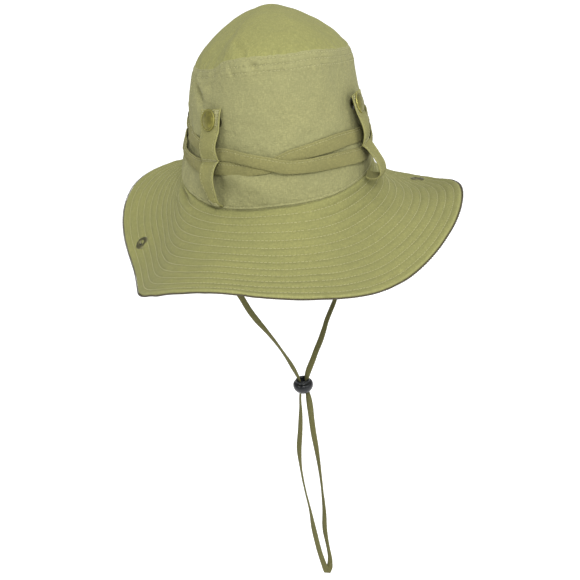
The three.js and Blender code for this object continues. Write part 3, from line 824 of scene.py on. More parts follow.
def wall_relief(angle, up):
    """Height of the cloth off the smooth wall."""
    down = wall_length(angle) - up
    points = wall_frame(angle, up)[0]
    around = angle * WALL_RADIUS
    degrees = to_degrees(angle)
    height = slump(points) * ease(0, 9, up) * (0.35 + 0.65 * ease(0, 8, down))
    height += 1.35 * folds(points) * ease(0, 5, up)
    # hollow on the wearer's right, and a dent and swelling at the right of the front
    height -= 4.6 * bump(up, 37, 14) * bump(degrees, -96, 24)
    height -= 1.3 * bump(degrees, -42, 6) * bump(up, 14, 8)
    height += 1.2 * bump(degrees, -30, 7) * bump(up, 17, 9)
    # dents round the brim studs
    for side in (-STUD_ANGLE, STUD_ANGLE):
        away = ((degrees - side) * 1.45) ** 2 + (up - STUD_UP) ** 2
        height -= 1.9 * np.exp(-away / 9.5**2)
    # the tip seam's allowance, felled down inside and topstitched
    height += 0.40 * ease(FELL + 0.9, FELL - 0.5, down)
    for row in TIP_STITCH_ROWS:
        height -= 0.5 * bump(down, row, 0.75)
    pull = flat_noise(around, down * 0.35, size=3.4, seed=5)
    height += 0.38 * pull * ease(24, 9, down) * ease(0.0, 2.0, down)
    height += shoulder(angle, down) - 0.45 * ease(1.1, 0.0, down)
    # pulled in at the brim seam
    pull = flat_noise(around, up * 0.3, size=4.2, seed=6)
    height += 0.30 * pull * ease(14, 2, up) - 1.1 * ease(1.15, -0.5, up)
    height -= 0.40 * bump(up, 2.1, 0.6)
    # lapped side seams
    for seam in (-pi / 2, pi / 2, 3 * pi / 2):
        x = (angle - seam) * WALL_RADIUS
        height += 0.5 * ease(5.6, 4.9, np.abs(x)) - 0.55 * bump(x, 0, 0.5)
        height -= 0.30 * (bump(x, SIDE_STITCH, 0.7) + bump(x, -SIDE_STITCH, 0.7))
    return height


def tip_relief(angle, share):
    """Height of the cloth off the smooth dome."""
    points = dome(angle, share)
    edge = (1 - share) * TIP_RADIUS
    height = slump(points) * (0.35 + 0.65 * ease(0, 8, edge)) + 1.35 * folds(points)
    pull = flat_noise(angle * WALL_RADIUS, edge * 0.35, size=3.4, seed=7)
    height += 0.36 * pull * ease(14, 3, edge) * ease(0.0, 2.0, edge)
    height += shoulder(angle, edge) - 0.45 * ease(1.1, 0.0, edge)
    return height * ease(0.0, 0.12, share)


def wall_skin(angle, up):
    """Points on the wall's cloth, and the wall's normals."""
    points, _, _, normal = wall_frame(angle, up)
    return points + normal * wall_relief(angle, up)[..., None], normal


def wall_matrix(angle, up, on_cloth=False):
    """Axes round, up and out of the wall at one place."""
    angle, up = np.array([angle]), np.array([up])
    point, around, upward, normal = (part[0] for part in wall_frame(angle, up))
    if on_cloth:
        point = point + normal * wall_relief(angle, up)
    return axes_matrix(around, upward, normal, point)


def crown_panel(end, start_degrees):
    """Half the wall, the front or the back one."""
    start = radians(start_degrees)
    angle = np.linspace(start, start + pi, int(pi * 78 / 1.25))
    length = wall_length(angle)[:, None]
    share = np.linspace(0, 1, MIDDLE_ROWS + 2)[1:-1]
    up = np.concatenate([
        np.broadcast_to(LOW_ROWS, (len(angle), len(LOW_ROWS))),
        LOW_ROWS[-1] + (length - HIGH_ROWS[-1] - LOW_ROWS[-1]) * share[None],
        length - HIGH_ROWS[::-1][None],
    ], 1)
    angle = np.broadcast_to(angle[:, None], up.shape)
    face, normal = wall_skin(angle, up)
    back = face - normal * (1.0 + 0.25 * ease(FELL, FELL - 1, length - up))[..., None]
    uv = np.stack([angle * 76.0, up], -1)
    panel = sheet(f"crown_{end}_cloth", face, back, uv, CROWN, sharp=50)
    ride(panel, "crown", "crown_cloth", f"crown_{end}_panel")


def crown_tip():
    """The domed top, with a small fan at its centre."""
    n, thick = 400, 1.1
    edge = TIP_EDGE_ROWS / TIP_RADIUS
    shares = np.concatenate([np.linspace(0.03, 1 - edge[-1], 52)[:-1], 1 - edge[::-1]])
    angle, share = np.meshgrid(np.arange(n) / n * 2 * pi, shares, indexing="ij")
    e = 1e-3
    around = dome(angle + e, share) - dome(angle - e, share)
    normal = unit(np.cross(around, dome(angle, share - e) - dome(angle, share + e)))
    normal = normal * np.sign(normal[..., 2:3] + 1e-9)
    face = dome(angle, share) + normal * tip_relief(angle, share)[..., None]
    back = face - normal * thick
    edge_rim = rim(face[:, -1], back[:, -1], unit(face[:, -1] - face[:, -2]))
    sections = np.concatenate([face, edge_rim, back[:, ::-1]], 1)
    m = sections.shape[1]
    apex_z = TIP_HEIGHT + TIP_TILT_X * TIP_SHIFT_X + DOME_RISE
    apexes = [[TIP_SHIFT_X, 0.0, apex_z], [TIP_SHIFT_X, 0.0, apex_z - thick]]
    points = np.concatenate([sections.reshape(-1, 3), apexes])
    i = np.arange(n)
    i2 = (i + 1) % n
    a, b, j = i[:, None] * m, i2[:, None] * m, np.arange(m - 1)[None]
    quads = np.stack([a + j, a + j + 1, b + j + 1, b + j], -1).reshape(-1, 4)
    tris = np.concatenate([
        np.stack([i * m, i2 * m, 0 * i + n * m], -1),
        np.stack([i2 * m + m - 1, i * m + m - 1, 0 * i + n * m + 1], -1),
    ])
    flat = points[:, :2] * MM
    ob = make_mesh("crown_tip_cloth", points, quads, CROWN_TIP, tris=tris,
                   quad_uv=flat[quads], tri_uv=flat[tris], sharp=60)
    ride(ob, "crown", "crown_cloth", "crown_tip")


def crown_stitching():
    angle = np.linspace(0, 2 * pi, int(2 * pi * 90 / 0.6))
    # height of each row round the wall, stitch length, gap
    lines = [(wall_length(angle) - down, 2.1, 0.75) for down in TIP_STITCH_ROWS]
    lines.append((np.full_like(angle, 2.1), 2.3, 0.8))
    rows = []
    for up, length, gap in lines:
        points, normal = wall_skin(angle, up)
        rows.append(dashes(points + normal * 0.04, normal, length, gap))
    for seam in (pi / 2, 3 * pi / 2):
        for x in (-SIDE_STITCH, SIDE_STITCH):
            up = np.linspace(3, 98, 300)
            angle = np.full_like(up, seam + x / WALL_RADIUS)
            points, normal = wall_skin(angle, up)
            keep = wall_length(angle) - up > FELL + 1
            rows.append(dashes((points + normal * 0.02)[keep], normal[keep], 2.1, 0.75))
    ride(stitches("crown_topstitching", rows, 0.17, THREAD), "crown", "crown_cloth")


# --------------------------------------------------------------------- quilted brim
# Section of the binding round the lip: distance out from the lip, height off the brim
BINDING_SECTION = [
    (-4.6, -2.45), (-3.4, -2.0), (-2.0, -1.9), (-0.9, -1.75), (-0.25, -1.85), (0.0, -2.2),
    (-0.15, -2.65), (-0.8, -3.0), (-2.2, -3.1), (-3.6, -3.0), (-4.6, -2.8), (-4.9, -2.6),
]


def puff(out):
    """Swelling between the rows of quilting, 0 at a row."""
    rows = np.array([-0.6] + STITCH_ROWS + [BRIM_WIDTH - 0.4])
    away = np.min(np.abs(out[..., None] - rows), -1)
    return 1 - np.exp(-((away / 1.5) ** 2))


def brim_wander(angle, out):
    """Broad unevenness of the whole brim, in mm off its middle."""
    points = brim_at(BRIM_POINTS, angle, out)
    degrees = to_degrees(angle)
    # a valley near the seam on the wearer's right
    valley = -3.4 * bump(out, 6.0, 2.6) * bump(degrees, -84, 11)
    valley = valley + 1.1 * bump(out, 13.0, 4.0) * bump(degrees, -84, 12)
    broad = 0.55 * noise(points, size=52, seed=11) + 0.30 * noise(points, size=20, seed=12)
    return broad * ease(0, 14, out) + valley


def brim_half_thickness(angle, out, face):
    """Height of the top (face 1) or under (face -1) side from the middle of the brim."""
    swell = puff(out)
    around = angle * (88.0 + 0.62 * out)
    pull = flat_noise(around, out * 0.9, size=2.7, seed=13 + face, z=40 * face)
    soft = noise(brim_at(BRIM_POINTS, angle, out) + 200 * face, size=8.0, seed=15)
    tuck = 0.95 * ease(1.5, -0.1, out) * (face > 0)
    return 0.62 + 0.72 * swell * (1 + 0.25 * soft) + 0.16 * pull * swell - tuck


def brim_skin(angle, out, face, lift=0.0):
    """Points and outward normals of one side of the quilted brim."""
    normal = unit(brim_at(BRIM_NORMALS, angle, out))
    offset = face * (brim_half_thickness(angle, out, face) + lift)
    offset = BRIM_MIDDLE + brim_wander(angle, out) + offset
    return brim_at(BRIM_POINTS, angle, out) + normal * offset[..., None], normal * face


def half_round(side, count):
    """Angles over one half of the hat."""
    start = 0 if side == "left" else -pi
    return np.linspace(start, start + pi, count)


def bend_side(ob, side, slot, *nodes):
    ends = [(SIDES[side] * x, 0, FOLD_Z) for x in (FOLD_START, FOLD_END)]
    bend(ob, "brim_side_" + side, ends, slot, *nodes)


def brim_cloth(side):
    outs = [-1.45, -0.9, -0.3, 0.3, 0.9, 1.6, 2.5, 3.44, 4.4, 5.2]
    for row in STITCH_ROWS:
        outs += [row + step for step in (-0.95, -0.5, -0.15, 0.15, 0.5, 0.95)]
        if row != STITCH_ROWS[-1]:
            outs += [row + 1.7, row + 2.6, row + QUILT_PITCH / 2]
            outs += [row + QUILT_PITCH - 2.6, row + QUILT_PITCH - 1.7]
    outs += [STITCH_ROWS[-1] + step for step in (1.8, 3.0, 4.2, 5.0)]
    angle, out = np.meshgrid(half_round(side, 384), np.array(outs), indexing="ij")
    top, under = (brim_skin(angle, out, face)[0] for face in (1, -1))
    uv = brim_at(BRIM_FLAT, angle, out)
    nodes = ["brim_top_" + side, "brim_under_" + side]
    if side == "left":
        nodes += ["brim_top_center", "brim_under_center"]
    ob = sheet("brim_quilted_" + side, top, under, uv, BRIM, sharp=60)
    bend_side(ob, side, "brim_cloth", *nodes)


def brim_stitching(side):
    """Quilting thread on both faces."""
    angle = half_round(side, 1800)
    for face, label in ((1, "top"), (-1, "under")):
        rows = []
        for k, row in enumerate(STITCH_ROWS):
            points, normal = brim_skin(angle, np.full_like(angle, row), face, lift=0.05)
            rows.append(dashes(points, normal, 2.35, 0.75, start=0.4 + 0.37 * (k % 3)))
        ob = stitches(f"brim_stitching_{label}_{side}", rows, 0.23, THREAD)
        bend_side(ob, side, "brim_cloth")


def brim_binding(side):
    """Rolled edge binding under the lip; its dark cloth is partly painted shade."""
    angle = half_round(side, 420)
    section = spline(BINDING_SECTION + BINDING_SECTION[:1], 25)
    lines = []
    for from_lip, height in section[:-1]:
        out = np.full_like(angle, BRIM_WIDTH + from_lip)
        wobble = 0.10 * flat_noise(angle * 145, from_lip, size=5.0, seed=21)
        offset = height + brim_wander(angle, out) + wobble
        normal = unit(brim_at(BRIM_NORMALS, angle, out))
        lines.append(brim_at(BRIM_POINTS, angle, out) + normal * offset[:, None])
    # the first point closes the section
    section[-1] = section[0]
    uv = np.stack(np.broadcast_arrays(run(lines[0])[:, None], run(section)[None]), -1)
    nodes = ["brim_binding_" + side]
    if side == "left":
        nodes += ["brim_binding_front", "brim_binding_back"]
    ob = sleeve("brim_binding_cloth_" + side, np.stack(lines, 1), uv, BINDING_SHADED, sharp=60)
    bend_side(ob, side, "binding", *nodes)


def brim_edge_stitching(side):
    """Stitches that hold the binding, in the groove below the lip. Their thick dark brown thread
    is partly painted shade: it stands for the groove's shadow.
    """
    angle = half_round(side, 2400)
    out = np.full_like(angle, BRIM_WIDTH - 0.15)
    normal = unit(brim_at(BRIM_NORMALS, angle, out))
    outward = unit(brim_at(BRIM_OUT, angle, out))
    offset = BRIM_MIDDLE - 0.35 + brim_wander(angle, out)
    points = brim_at(BRIM_POINTS, angle, out) + normal * offset[:, None] + outward * 0.30
    # thick dark thread: the stitches, and painted shade along the groove
    ob = stitches("brim_edge_stitching_" + side, [dashes(points, outward, 1.5, 0.65)],
                  0.50, THREAD_DARK)
    bend_side(ob, side, "binding")


# -------------------------------------------------------------- sweatband and label
SWEAT_ROWS = np.array([1.4, 2.2, 3.2, 4.4, 8, 12, 16, 20, 24, 27.2, 28.4, 29.2, 29.9])
SWEAT_STITCH_ROWS = (2.2, 28.4)
LABEL_HALF = 11  # degrees either side of the back
LABEL_LOW, LABEL_HIGH = 6, 22
LABEL_THICK = 0.45


def sweat_height(angle, up):
    """The sweatband's outer face, off the wall; it lies behind the crown cloth."""
    ripple = 0.5 * noise(wall_frame(angle, up)[0], size=16, seed=31)
    height = -2.2 - ripple * ease(0, 5, up) * ease(30, 24, up) + 0.25 * bump(up, 28.4, 0.8)
    return np.minimum(height, wall_relief(angle, up) - 1.75)


def sweatband():
    angles = np.arange(380) / 380 * 2 * pi
    angle, up = np.meshgrid(angles, SWEAT_ROWS, indexing="ij")
    points, _, _, normal = wall_frame(angle, up)
    height = sweat_height(angle, up)[..., None]
    face, back = points + normal * height, points + normal * (height - 1.0)
    around = np.concatenate([angle, angle[:1] + 2 * pi]) * 88
    uv = np.stack([around, np.concatenate([up, up[:1]])], -1)
    ob = sheet("sweatband_cloth", face, back, uv, SWEATBAND, wrap=True, sharp=60)
    ride(ob, "crown", "sweatband", "sweatband")

    rows = []
    angle = np.linspace(0, 2 * pi, 1600)
    for row in SWEAT_STITCH_ROWS:
        up = np.full_like(angle, row)
        points, _, _, normal = wall_frame(angle, up)
        height = sweat_height(angle, up) - 1.02
        rows.append(dashes(points + normal * height[:, None], -normal, 2.4, 0.8))
    ride(stitches("sweatband_stitching", rows, 0.18, THREAD), "crown", "sweatband")


def label_surface(angle, up):
    """Wall points and normals, and the height of the label's outer face off them."""
    points, _, _, normal = wall_frame(angle, up)
    height = -3.75 - 0.35 * noise(points, size=9, seed=33)
    return points, normal, np.minimum(height, sweat_height(angle, up) - 1.15)


def label():
    """Blank label inside the back of the sweatband, and its stitching."""
    u = np.linspace(-LABEL_HALF, LABEL_HALF, 44)
    v = np.linspace(LABEL_LOW, LABEL_HIGH, 26)
    angle, up = np.meshgrid(pi + np.radians(u), v, indexing="ij")
    points, normal, height = label_surface(angle, up)
    edge = np.minimum(
        (LABEL_HALF - np.abs(u))[:, None] * 1.5,
        np.minimum(v - LABEL_LOW, LABEL_HIGH - v)[None],
    )
    height = (height + 0.25 * bump(edge, 1.3, 0.5))[..., None]
    face, back = points + normal * height, points + normal * (height - LABEL_THICK)
    uv = np.stack([angle * 88, up], -1)
    ob = sheet("label_blank", face, back, uv, LABEL, sharp=60)
    ride(ob, "crown", "label", "blank_label")

    side, low, high = LABEL_HALF - 0.8, LABEL_LOW + 1.2, LABEL_HIGH - 1.2
    corners = [(-side, low), (side, low), (side, high), (-side, high), (-side, low)]
    rows = []
    for (u0, v0), (u1, v1) in zip(corners, corners[1:]):
        share = np.linspace(0, 1, 120)
        angle = pi + np.radians(u0 + (u1 - u0) * share)
        points, normal, height = label_surface(angle, v0 + (v1 - v0) * share)
        points = points + normal * (height - LABEL_THICK)[:, None]
        rows.append(dashes(points, -normal, 1.7, 0.7))
    ride(stitches("label_stitching", rows, 0.14, THREAD), "crown", "label")


# --------------------------------------------------------------------- band strands
BAND_HALF = 5.3
# Height of each strand round the crown: degrees, mm above the brim seam's level
BAND_OUTER = [
    (-180, 36), (-138, 37), (-105, 42), (-72, 46), (-51, 43.5), (-40, 45), (-29, 43),
    (-17, 38.5), (-7, 33.6), (7, 30.2), (19, 27.6), (30, 25), (48, 19.5), (58, 17.5),
    (92, 22), (115, 31), (138, 40), (160, 38.5),
]
BAND_INNER = [
    (-180, 25), (-138, 19), (-105, 24), (-72, 28), (-51, 32.3), (-40, 34), (-27, 34.3),
    (-17, 35.6), (-11, 37), (-3, 40.2), (14, 41), (28, 40), (48, 35), (58, 33.5),
    (92, 33), (115, 29), (138, 24), (160, 23.5),
]


def strand(layer, table, other_table, over, seed, right_lift):
    """One tape round the crown. over is its extra lift where the two cross, right_lift its
    lift on the wearer's right."""
    n = 620
    angle = np.arange(n) / n * 2 * pi
    height = periodic(table)(angle)
    gap = np.abs(height - periodic(other_table)(angle))
    height = height - seam_rise(angle)
    wall_points = wall_frame(angle, height)[0]
    near = ease(14.5, 9.0, gap)
    loose = 0.30 * (1 + noise(wall_points, size=23, seed=seed)) * (1 - near)
    lift = 0.30 + over * near + loose + right_lift * bump(to_degrees(angle), -79, 13)
    tilt = 0.5 * noise(wall_points, size=30, seed=seed + 1) * (1 - 0.6 * near)
    tilt = tilt[:, None] * 0.35
    skin, wall_normal = wall_skin(angle, height)
    centre = skin + wall_normal * (np.maximum(0.12, lift) + 0.9)[:, None]
    along = unit(np.roll(centre, -1, 0) - np.roll(centre, 1, 0))
    # wide points up the wall, normal outwards
    wide = unit(np.cross(wall_normal, along))
    wide = wide * np.sign(wide[:, 2:3])
    normal = unit(np.cross(along, wide))
    normal = normal * np.sign((normal * wall_normal).sum(1, keepdims=True))
    wide, normal = unit(wide + normal * tilt), unit(normal - wide * tilt)
    half = BAND_HALF * (1 + 0.05 * noise(wall_points, size=34, seed=seed + 2)) - 0.5 * near

    def relief(distance, x):
        pull = 0.10 * flat_noise(distance, x * 0.5, size=3.0, seed=seed + 3)
        broad = 0.18 * flat_noise(distance * 0.35, x, size=4.5, seed=seed + 4)
        return pull + broad - 0.22 * bump(x, BAND_HALF - 1.5, 0.6) - 0.05

    name = f"band_{layer}_tape"
    ob = ribbon(name, centre, wide, normal, half, 2.1, BAND, relief, across=15,
                belly=0.45, wrap=True)
    ride(ob, "crown", "band_tape", "band_strand_" + layer)
    # the closing stitch along the upper edge
    points = centre + wide * (half - 1.5)[:, None] + normal * 0.78
    closed = [np.concatenate([part, part[:1]]) for part in (points, normal)]
    ob = stitches(name + "_stitching", [dashes(*closed, 2.0, 0.8)], 0.16, THREAD)
    ride(ob, "crown", "band_tape")


# ----------------------------------------------------------------------------- tabs
# A tab's strip rises from the brim seam in a loop, is tacked at its middle, and ends in a
# flap with a snap. All tabs share the flap: distance out from the wall, height from middle.
FLAP = [
    (4.4, 0.0), (6.6, 3.2), (8.2, 8.0), (8.3, 13.0), (6.9, 19.0), (4.8, 25.0),
    (3.6, 31.0), (3.0, 35.6), (2.3, 40.0),
]
# half width of the flap: height from middle, half width
FLAP_HALF = [(-1.5, 10.6), (0, 10.2), (1.5, 10.6), (7, 11.2), (16, 12.0), (30, 12.2), (42.5, 12.0)]
FOOT_STATIONS = (0, 0.22, 0.5, 0.8, 1.0)  # share of the way from foot to middle
SLOPE_STATIONS = (0, 0.4, 0.75, 1.0)
# angle: degrees round the hat. middle: its height up the wall.
# loop: distance out from the wall, height up the wall. foot: half widths at FOOT_STATIONS.
# turn: degrees about the strip's length, and lean: sideways shift, by height from middle.
# slope: degrees across at SLOPE_STATIONS. snap_shift: sideways shift of the snap.
# taper: narrowing of the flap by height from middle.
TABS = {
    "front_left": {
        "angle": 50.0, "middle": 27.3,
        "loop": [(0.9, 0.6), (6.0, -1.6), (11.6, -1.4), (14.8, 1.6), (14.6, 6.6),
                 (12.0, 13.5), (8.4, 20.0), (6.2, 24.6)],
        "foot": (6.0, 8.0, 8.8, 9.4, 10.2),
        "turn": [(-29, 0), (-22, 8), (-8, 9), (0, 6), (12, 12), (24, 10), (34, 3), (42, 2)],
        "slope": (16.0, 12.0, 9.0, 0.0),
        "lean": [(-30, 0), (0, 0), (42, -1)], "snap_shift": 0.0,
        "taper": [(2, 1.0), (14, 0.9), (42, 0.82)],
    },
    "front_right": {
        "angle": -51.0, "middle": 37.6,
        "loop": [(0.9, 2.2), (4.4, 4.2), (7.8, 8.6), (9.6, 15.5), (9.8, 23.0),
                 (8.8, 29.5), (6.8, 34.6)],
        "foot": (2.6, 5.6, 9.2, 10.2, 10.4),
        "turn": [(-36, 0), (-24, -7), (-8, -8), (0, -2), (10, -8), (30, -3), (42, 0)],
        "slope": (34.0, 12.0, 0.0, 0.0),
        "lean": [(-37, 0), (-14, -1.0), (0, 0), (12, 0), (33, 4.6), (43, 6.8)],
        "snap_shift": 3.4,
    },
    "rear_left": {
        "angle": 138.0, "middle": 32.0,
        "loop": [(0.9, 1.6), (4.6, 4.4), (8.4, 9.5), (9.6, 16.5), (8.8, 23.5), (6.4, 29.2)],
        "foot": (7.6, 8.8, 10.0, 10.3, 10.4),
        "turn": [(-30, 0), (8, 4), (42, 0)],
        "slope": (8.0, 4.0, 0.0, 0.0),
        "lean": [(-30, 0), (10, 1.2), (43, 0)], "snap_shift": 0.0,
    },
    "rear_right": {
        "angle": -138.0, "middle": 28.0,
        "loop": [(0.9, 1.6), (4.6, 4.4), (8.6, 9.5), (9.6, 15.0), (8.6, 20.5), (6.4, 25.4)],
        "foot": (7.6, 8.8, 10.0, 10.3, 10.4),
        "turn": [(-30, 0), (8, -4), (42, 0)],
        "slope": (-8.0, -4.0, 0.0, 0.0),
        "lean": [(-30, 0), (10, -1.2), (43, 0)], "snap_shift": 0.0,
    },
}
# Turned profiles of the tab snaps: radius, height
TAB_CAP = [
    (0, 3.25), (2.0, 3.2), (4.0, 3.0), (5.6, 2.68), (6.6, 2.35), (7.1, 2.2), (7.4, 2.35),
    (7.8, 2.42), (8.3, 2.25), (8.55, 1.8), (8.5, 1.3), (8.1, 0.95), (7.4, 0.8), (0, 0.8),
]
TAB_SOCKET = [
    (2.5, -2.4), (3.0, -2.6), (3.8, -2.5), (4.5, -2.1), (5.0, -1.55), (5.2, -1.05),
    (5.1, -0.8), (2.6, -0.8), (2.4, -1.2), (2.75, -1.6), (2.4, -2.0),
]
TAB_POST = [
    (0, 2.1), (1.0, 2.05), (1.7, 1.8), (1.95, 1.45), (1.7, 1.1), (1.6, 0.8), (2.4, 0.6),
    (3.8, 0.45), (4.5, 0.25), (4.8, -0.05), (4.8, -0.5), (0, -0.5),
]


def shape_strip(shape, matrix, seed):
    """The run of a tab's strip: centre line, width direction, normal and half width."""
    around, upward, outward = matrix[:3, :3].T
    path = spline([(out, up - shape["middle"]) for out, up in shape["loop"]] + FLAP, 130)
    out, up = path.T
    n = len(path)
    # the strip crosses its middle height again, far out, in some loops
    middle = int(np.argmin(np.abs(up) + (out > 6.4) * 50))
    travelled = run(path)
    foot = travelled / travelled[middle]
    # narrower at the brim seam and at the middle bartack
    half = np.where(up > 0, table_value(up, FLAP_HALF),
                    np.interp(foot, FOOT_STATIONS, shape["foot"]))
    if "taper" in shape:
        half = half * table_value(up, shape["taper"])
    half = smoothed(half, 3)

    sway = 0.8 * np.sin(np.linspace(0, 2.2 * pi, n)) * math.copysign(1, shape["angle"])
    lean = smoothed(sway + table_value(up, shape["lean"]), 6)[:, None]
    upright = transform(matrix, np.stack([0 * up, up, out], -1))
    centre = upright + around * lean
    step = unit(np.gradient(path, axis=0))
    along = unit(outward * step[:, :1] + upward * step[:, 1:])
    face = unit(outward * step[:, 1:] - upward * step[:, :1])
    turn = smoothed(np.radians(table_value(up, shape["turn"])), 8)
    turn = np.where(np.arange(n) < 4, 0, turn)[:, None]
    wide = around * np.cos(turn) - face * np.sin(turn)
    slope = smoothed(np.radians(np.interp(foot, SLOPE_STATIONS, shape["slope"])), 5)[:, None]
    wide = unit(wide * np.cos(slope) - along * np.sin(slope))
    normal = unit(np.cross(wide, along))
    normal = normal * np.sign((normal * face).sum(1, keepdims=True))

    distance = run(centre)
    wave = 0.6 * noise(centre, size=13, seed=seed + 2)[:, None]
    return SimpleNamespace(
        up=up, half=half, wide=wide, normal=normal, middle=middle, distance=distance,
        curl=-0.9 * np.sin(distance / distance[-1] * 3.4 * pi + 0.6),
        surface=centre + normal * wave * ease(0, 6, np.abs(up))[:, None],
        snap_line=upright + normal * wave,
    )


def zigzag(strip, at, across, swing):
    """Stitches to and fro over the strip at one distance; across is in half widths."""
    half, curl = (np.interp(at, strip.distance, part) for part in (strip.half, strip.curl))
    at = at + np.where(np.arange(len(across)) % 2, swing, -swing)
    surface, normal, wide = (
        sample(part, at, strip.distance) for part in (strip.surface, strip.normal, strip.wide)
    )
    points = surface + normal * (curl * across**2 + 0.80)[:, None]
    points = points + wide * (across * half)[:, None]
    return points[:-1], points[1:], normal[:-1]


def tab_stitching(name, strip):
    def at_height(up):
        return np.interp(up, np.maximum.accumulate(strip.up), strip.distance)

    rows = []
    # edge stitching down both sides
    inset = strip.half - 1.6
    height = strip.curl * (inset / strip.half) ** 2 + 0.56
    for side in (-1, 1):
        points = strip.surface + strip.normal * height[:, None]
        points = points + strip.wide * (side * inset)[:, None]
        rows.append(dashes(points[3:-3], strip.normal[3:-3], 2.0, 0.75))
    # bartacks at the foot, the middle and the top: distance, share of the width
    tacks = [(strip.distance[6] + row * 1.5, 0.92) for row in range(3)]
    for up, width in ((0.4, 0.92), (37.0, 0.9)):
        tacks += [(at_height(up + row * 1.5), width) for row in range(2)]
    for at, width in tacks:
        rows.append(zigzag(strip, at, np.arange(-1, 1.0001, 0.055) * width, swing=0.55))
    if name == "front_right":
        # the snap's reinforcing zigzag beside the cap
        for up in np.arange(27.5, 39.0, 1.1):
            rows.append(zigzag(strip, at_height(up), np.linspace(0.50, 0.93, 9), swing=0.5))
    return stitches(f"tab_{name}_stitching", rows, 0.17, THREAD)


def tab_snap(name, strip, matrix):
    """Cap on the flap, socket under it, post on the crown."""
    shape, middle = TABS[name], strip.middle
    around, upward = matrix[:3, 0], matrix[:3, 1]
    at = float(np.interp(SNAP_UP, strip.up[middle:], strip.distance[middle:]))
    spot = sample(strip.snap_line, at, strip.distance) + around * shape["snap_shift"]
    z = unit(sample(strip.normal, at, strip.distance))
    x = unit(np.cross(upward, z))
    on_flap = axes_matrix(x, np.cross(z, x), z, spot)
    post_angle = radians(shape["angle"]) + shape["snap_shift"] / 76.0
    on_crown = wall_matrix(post_angle, shape["middle"] + SNAP_UP, on_cloth=True)
    for part, profile, place, material, body in (
        ("cap", TAB_CAP, on_flap, BRASS, "tab_" + name),
        ("socket", TAB_SOCKET, on_flap, BRASS_DARK, "tab_" + name),
        ("post", TAB_POST, on_crown, BRASS_DARK, "crown"),
    ):
        ob = lathe(f"tab_{name}_{part}", profile, place, material)
        ride(ob, body, "snap_brass", f"tab_{name}_snap_{part}")


def tab(name):
    shape = TABS[name]
    matrix = wall_matrix(radians(shape["angle"]), shape["middle"])
    seed = 60 + int(abs(shape["angle"]))
    strip = shape_strip(shape, matrix, seed)

    def relief(distance, x):
        height = 0.14 * flat_noise(distance, x, size=6.0, seed=seed)
        height = height + 0.07 * flat_noise(distance, x * 2, size=2.6, seed=seed + 1)
        return height - 0.20 * bump(strip.half[:, None] - np.abs(x), 1.6, 0.55)

    ob = ribbon(f"tab_{name}_strip", strip.surface, strip.wide, strip.normal, strip.half, 1.5,
                TAB, relief, across=19, belly=0.8, curl=strip.curl[:, None])
    ends = [transform(matrix, [0, up, 6.0]) for up in (0.5, 7.5)]
    bend(ob, "tab_" + name, ends, "tab_cloth", f"tab_{name}_flap", f"tab_{name}_loop")
    bend(tab_stitching(name, strip), "tab_" + name, ends, "tab_cloth")
    tab_snap(name, strip, matrix)


# ----------------------------------------------------------------- brim side snaps
BRIM_SNAP_DEGREES = {"left": 100, "right": -98}
BRIM_SNAP_OUT = 0.83 * BRIM_WIDTH
# Turned profiles: radius, height
BRIM_SOCKET = [
    (2.5, 0.3), (2.9, 0.85), (3.5, 1.1), (4.3, 1.15), (5.2, 0.95), (6.0, 0.55),
    (6.5, 0.05), (6.5, -0.6), (2.5, -0.6), (2.3, 0.0),
]
BRIM_WELL = [(0, -0.15), (1.6, -0.15), (2.45, 0.1), (2.45, -0.6), (0, -0.6)]
BRIM_CAP = [
    (0, 2.1), (2.0, 2.05), (4.0, 1.85), (5.2, 1.6), (6.0, 1.35), (6.4, 1.42),
    (6.9, 1.35), (7.3, 1.0), (7.3, 0.5), (6.8, 0.0), (6.0, -0.3), (0, -0.3),
]
BRIM_STUD = [
    (0, 1.7), (1.0, 1.65), (1.7, 1.5), (1.95, 1.25), (1.7, 1.0), (1.65, 0.8), (2.4, 0.6),
    (4.2, 0.42), (5.0, 0.2), (5.3, -0.1), (5.3, -0.6), (0, -0.6),
]


def brim_snap(side):
    """Socket on top of the brim, cap under it, stud on the crown."""
    body = "brim_side_" + side
    spot = np.array([radians(BRIM_SNAP_DEGREES[side])]), np.array([BRIM_SNAP_OUT])
    (top, z), (under, _) = ([part[0] for part in brim_skin(*spot, face)] for face in (1, -1))
    y = unit(np.cross(z, brim_at(BRIM_AROUND, *spot)[0]))
    x = np.cross(y, z)
    above, below = axes_matrix(x, y, z, top), axes_matrix(x, -y, -z, under)
    on_crown = wall_matrix(radians(SIDES[side] * STUD_ANGLE), STUD_UP, on_cloth=True)
    ob = lathe("brim_socket_" + side, BRIM_SOCKET, above, BRASS_DARK)
    ride(ob, body, "snap_brass", "brim_snap_socket_" + side)
    ob = lathe("brim_socket_well_" + side, BRIM_WELL, above, HOLLOW)
    ride(ob, body, "snap_brass")
    ob = lathe("brim_cap_" + side, BRIM_CAP, below, BRASS)
    ride(ob, body, "snap_brass", "brim_snap_cap_" + side)
    ob = lathe("brim_stud_" + side, BRIM_STUD, on_crown, BRASS_DARK)
    ride(ob, "crown", "snap_brass", "brim_snap_stud_" + side)


# ------------------------------------------------------------- chin cord and slider
SLIDER_Z = -224.0
CORD_HALF = 2.45
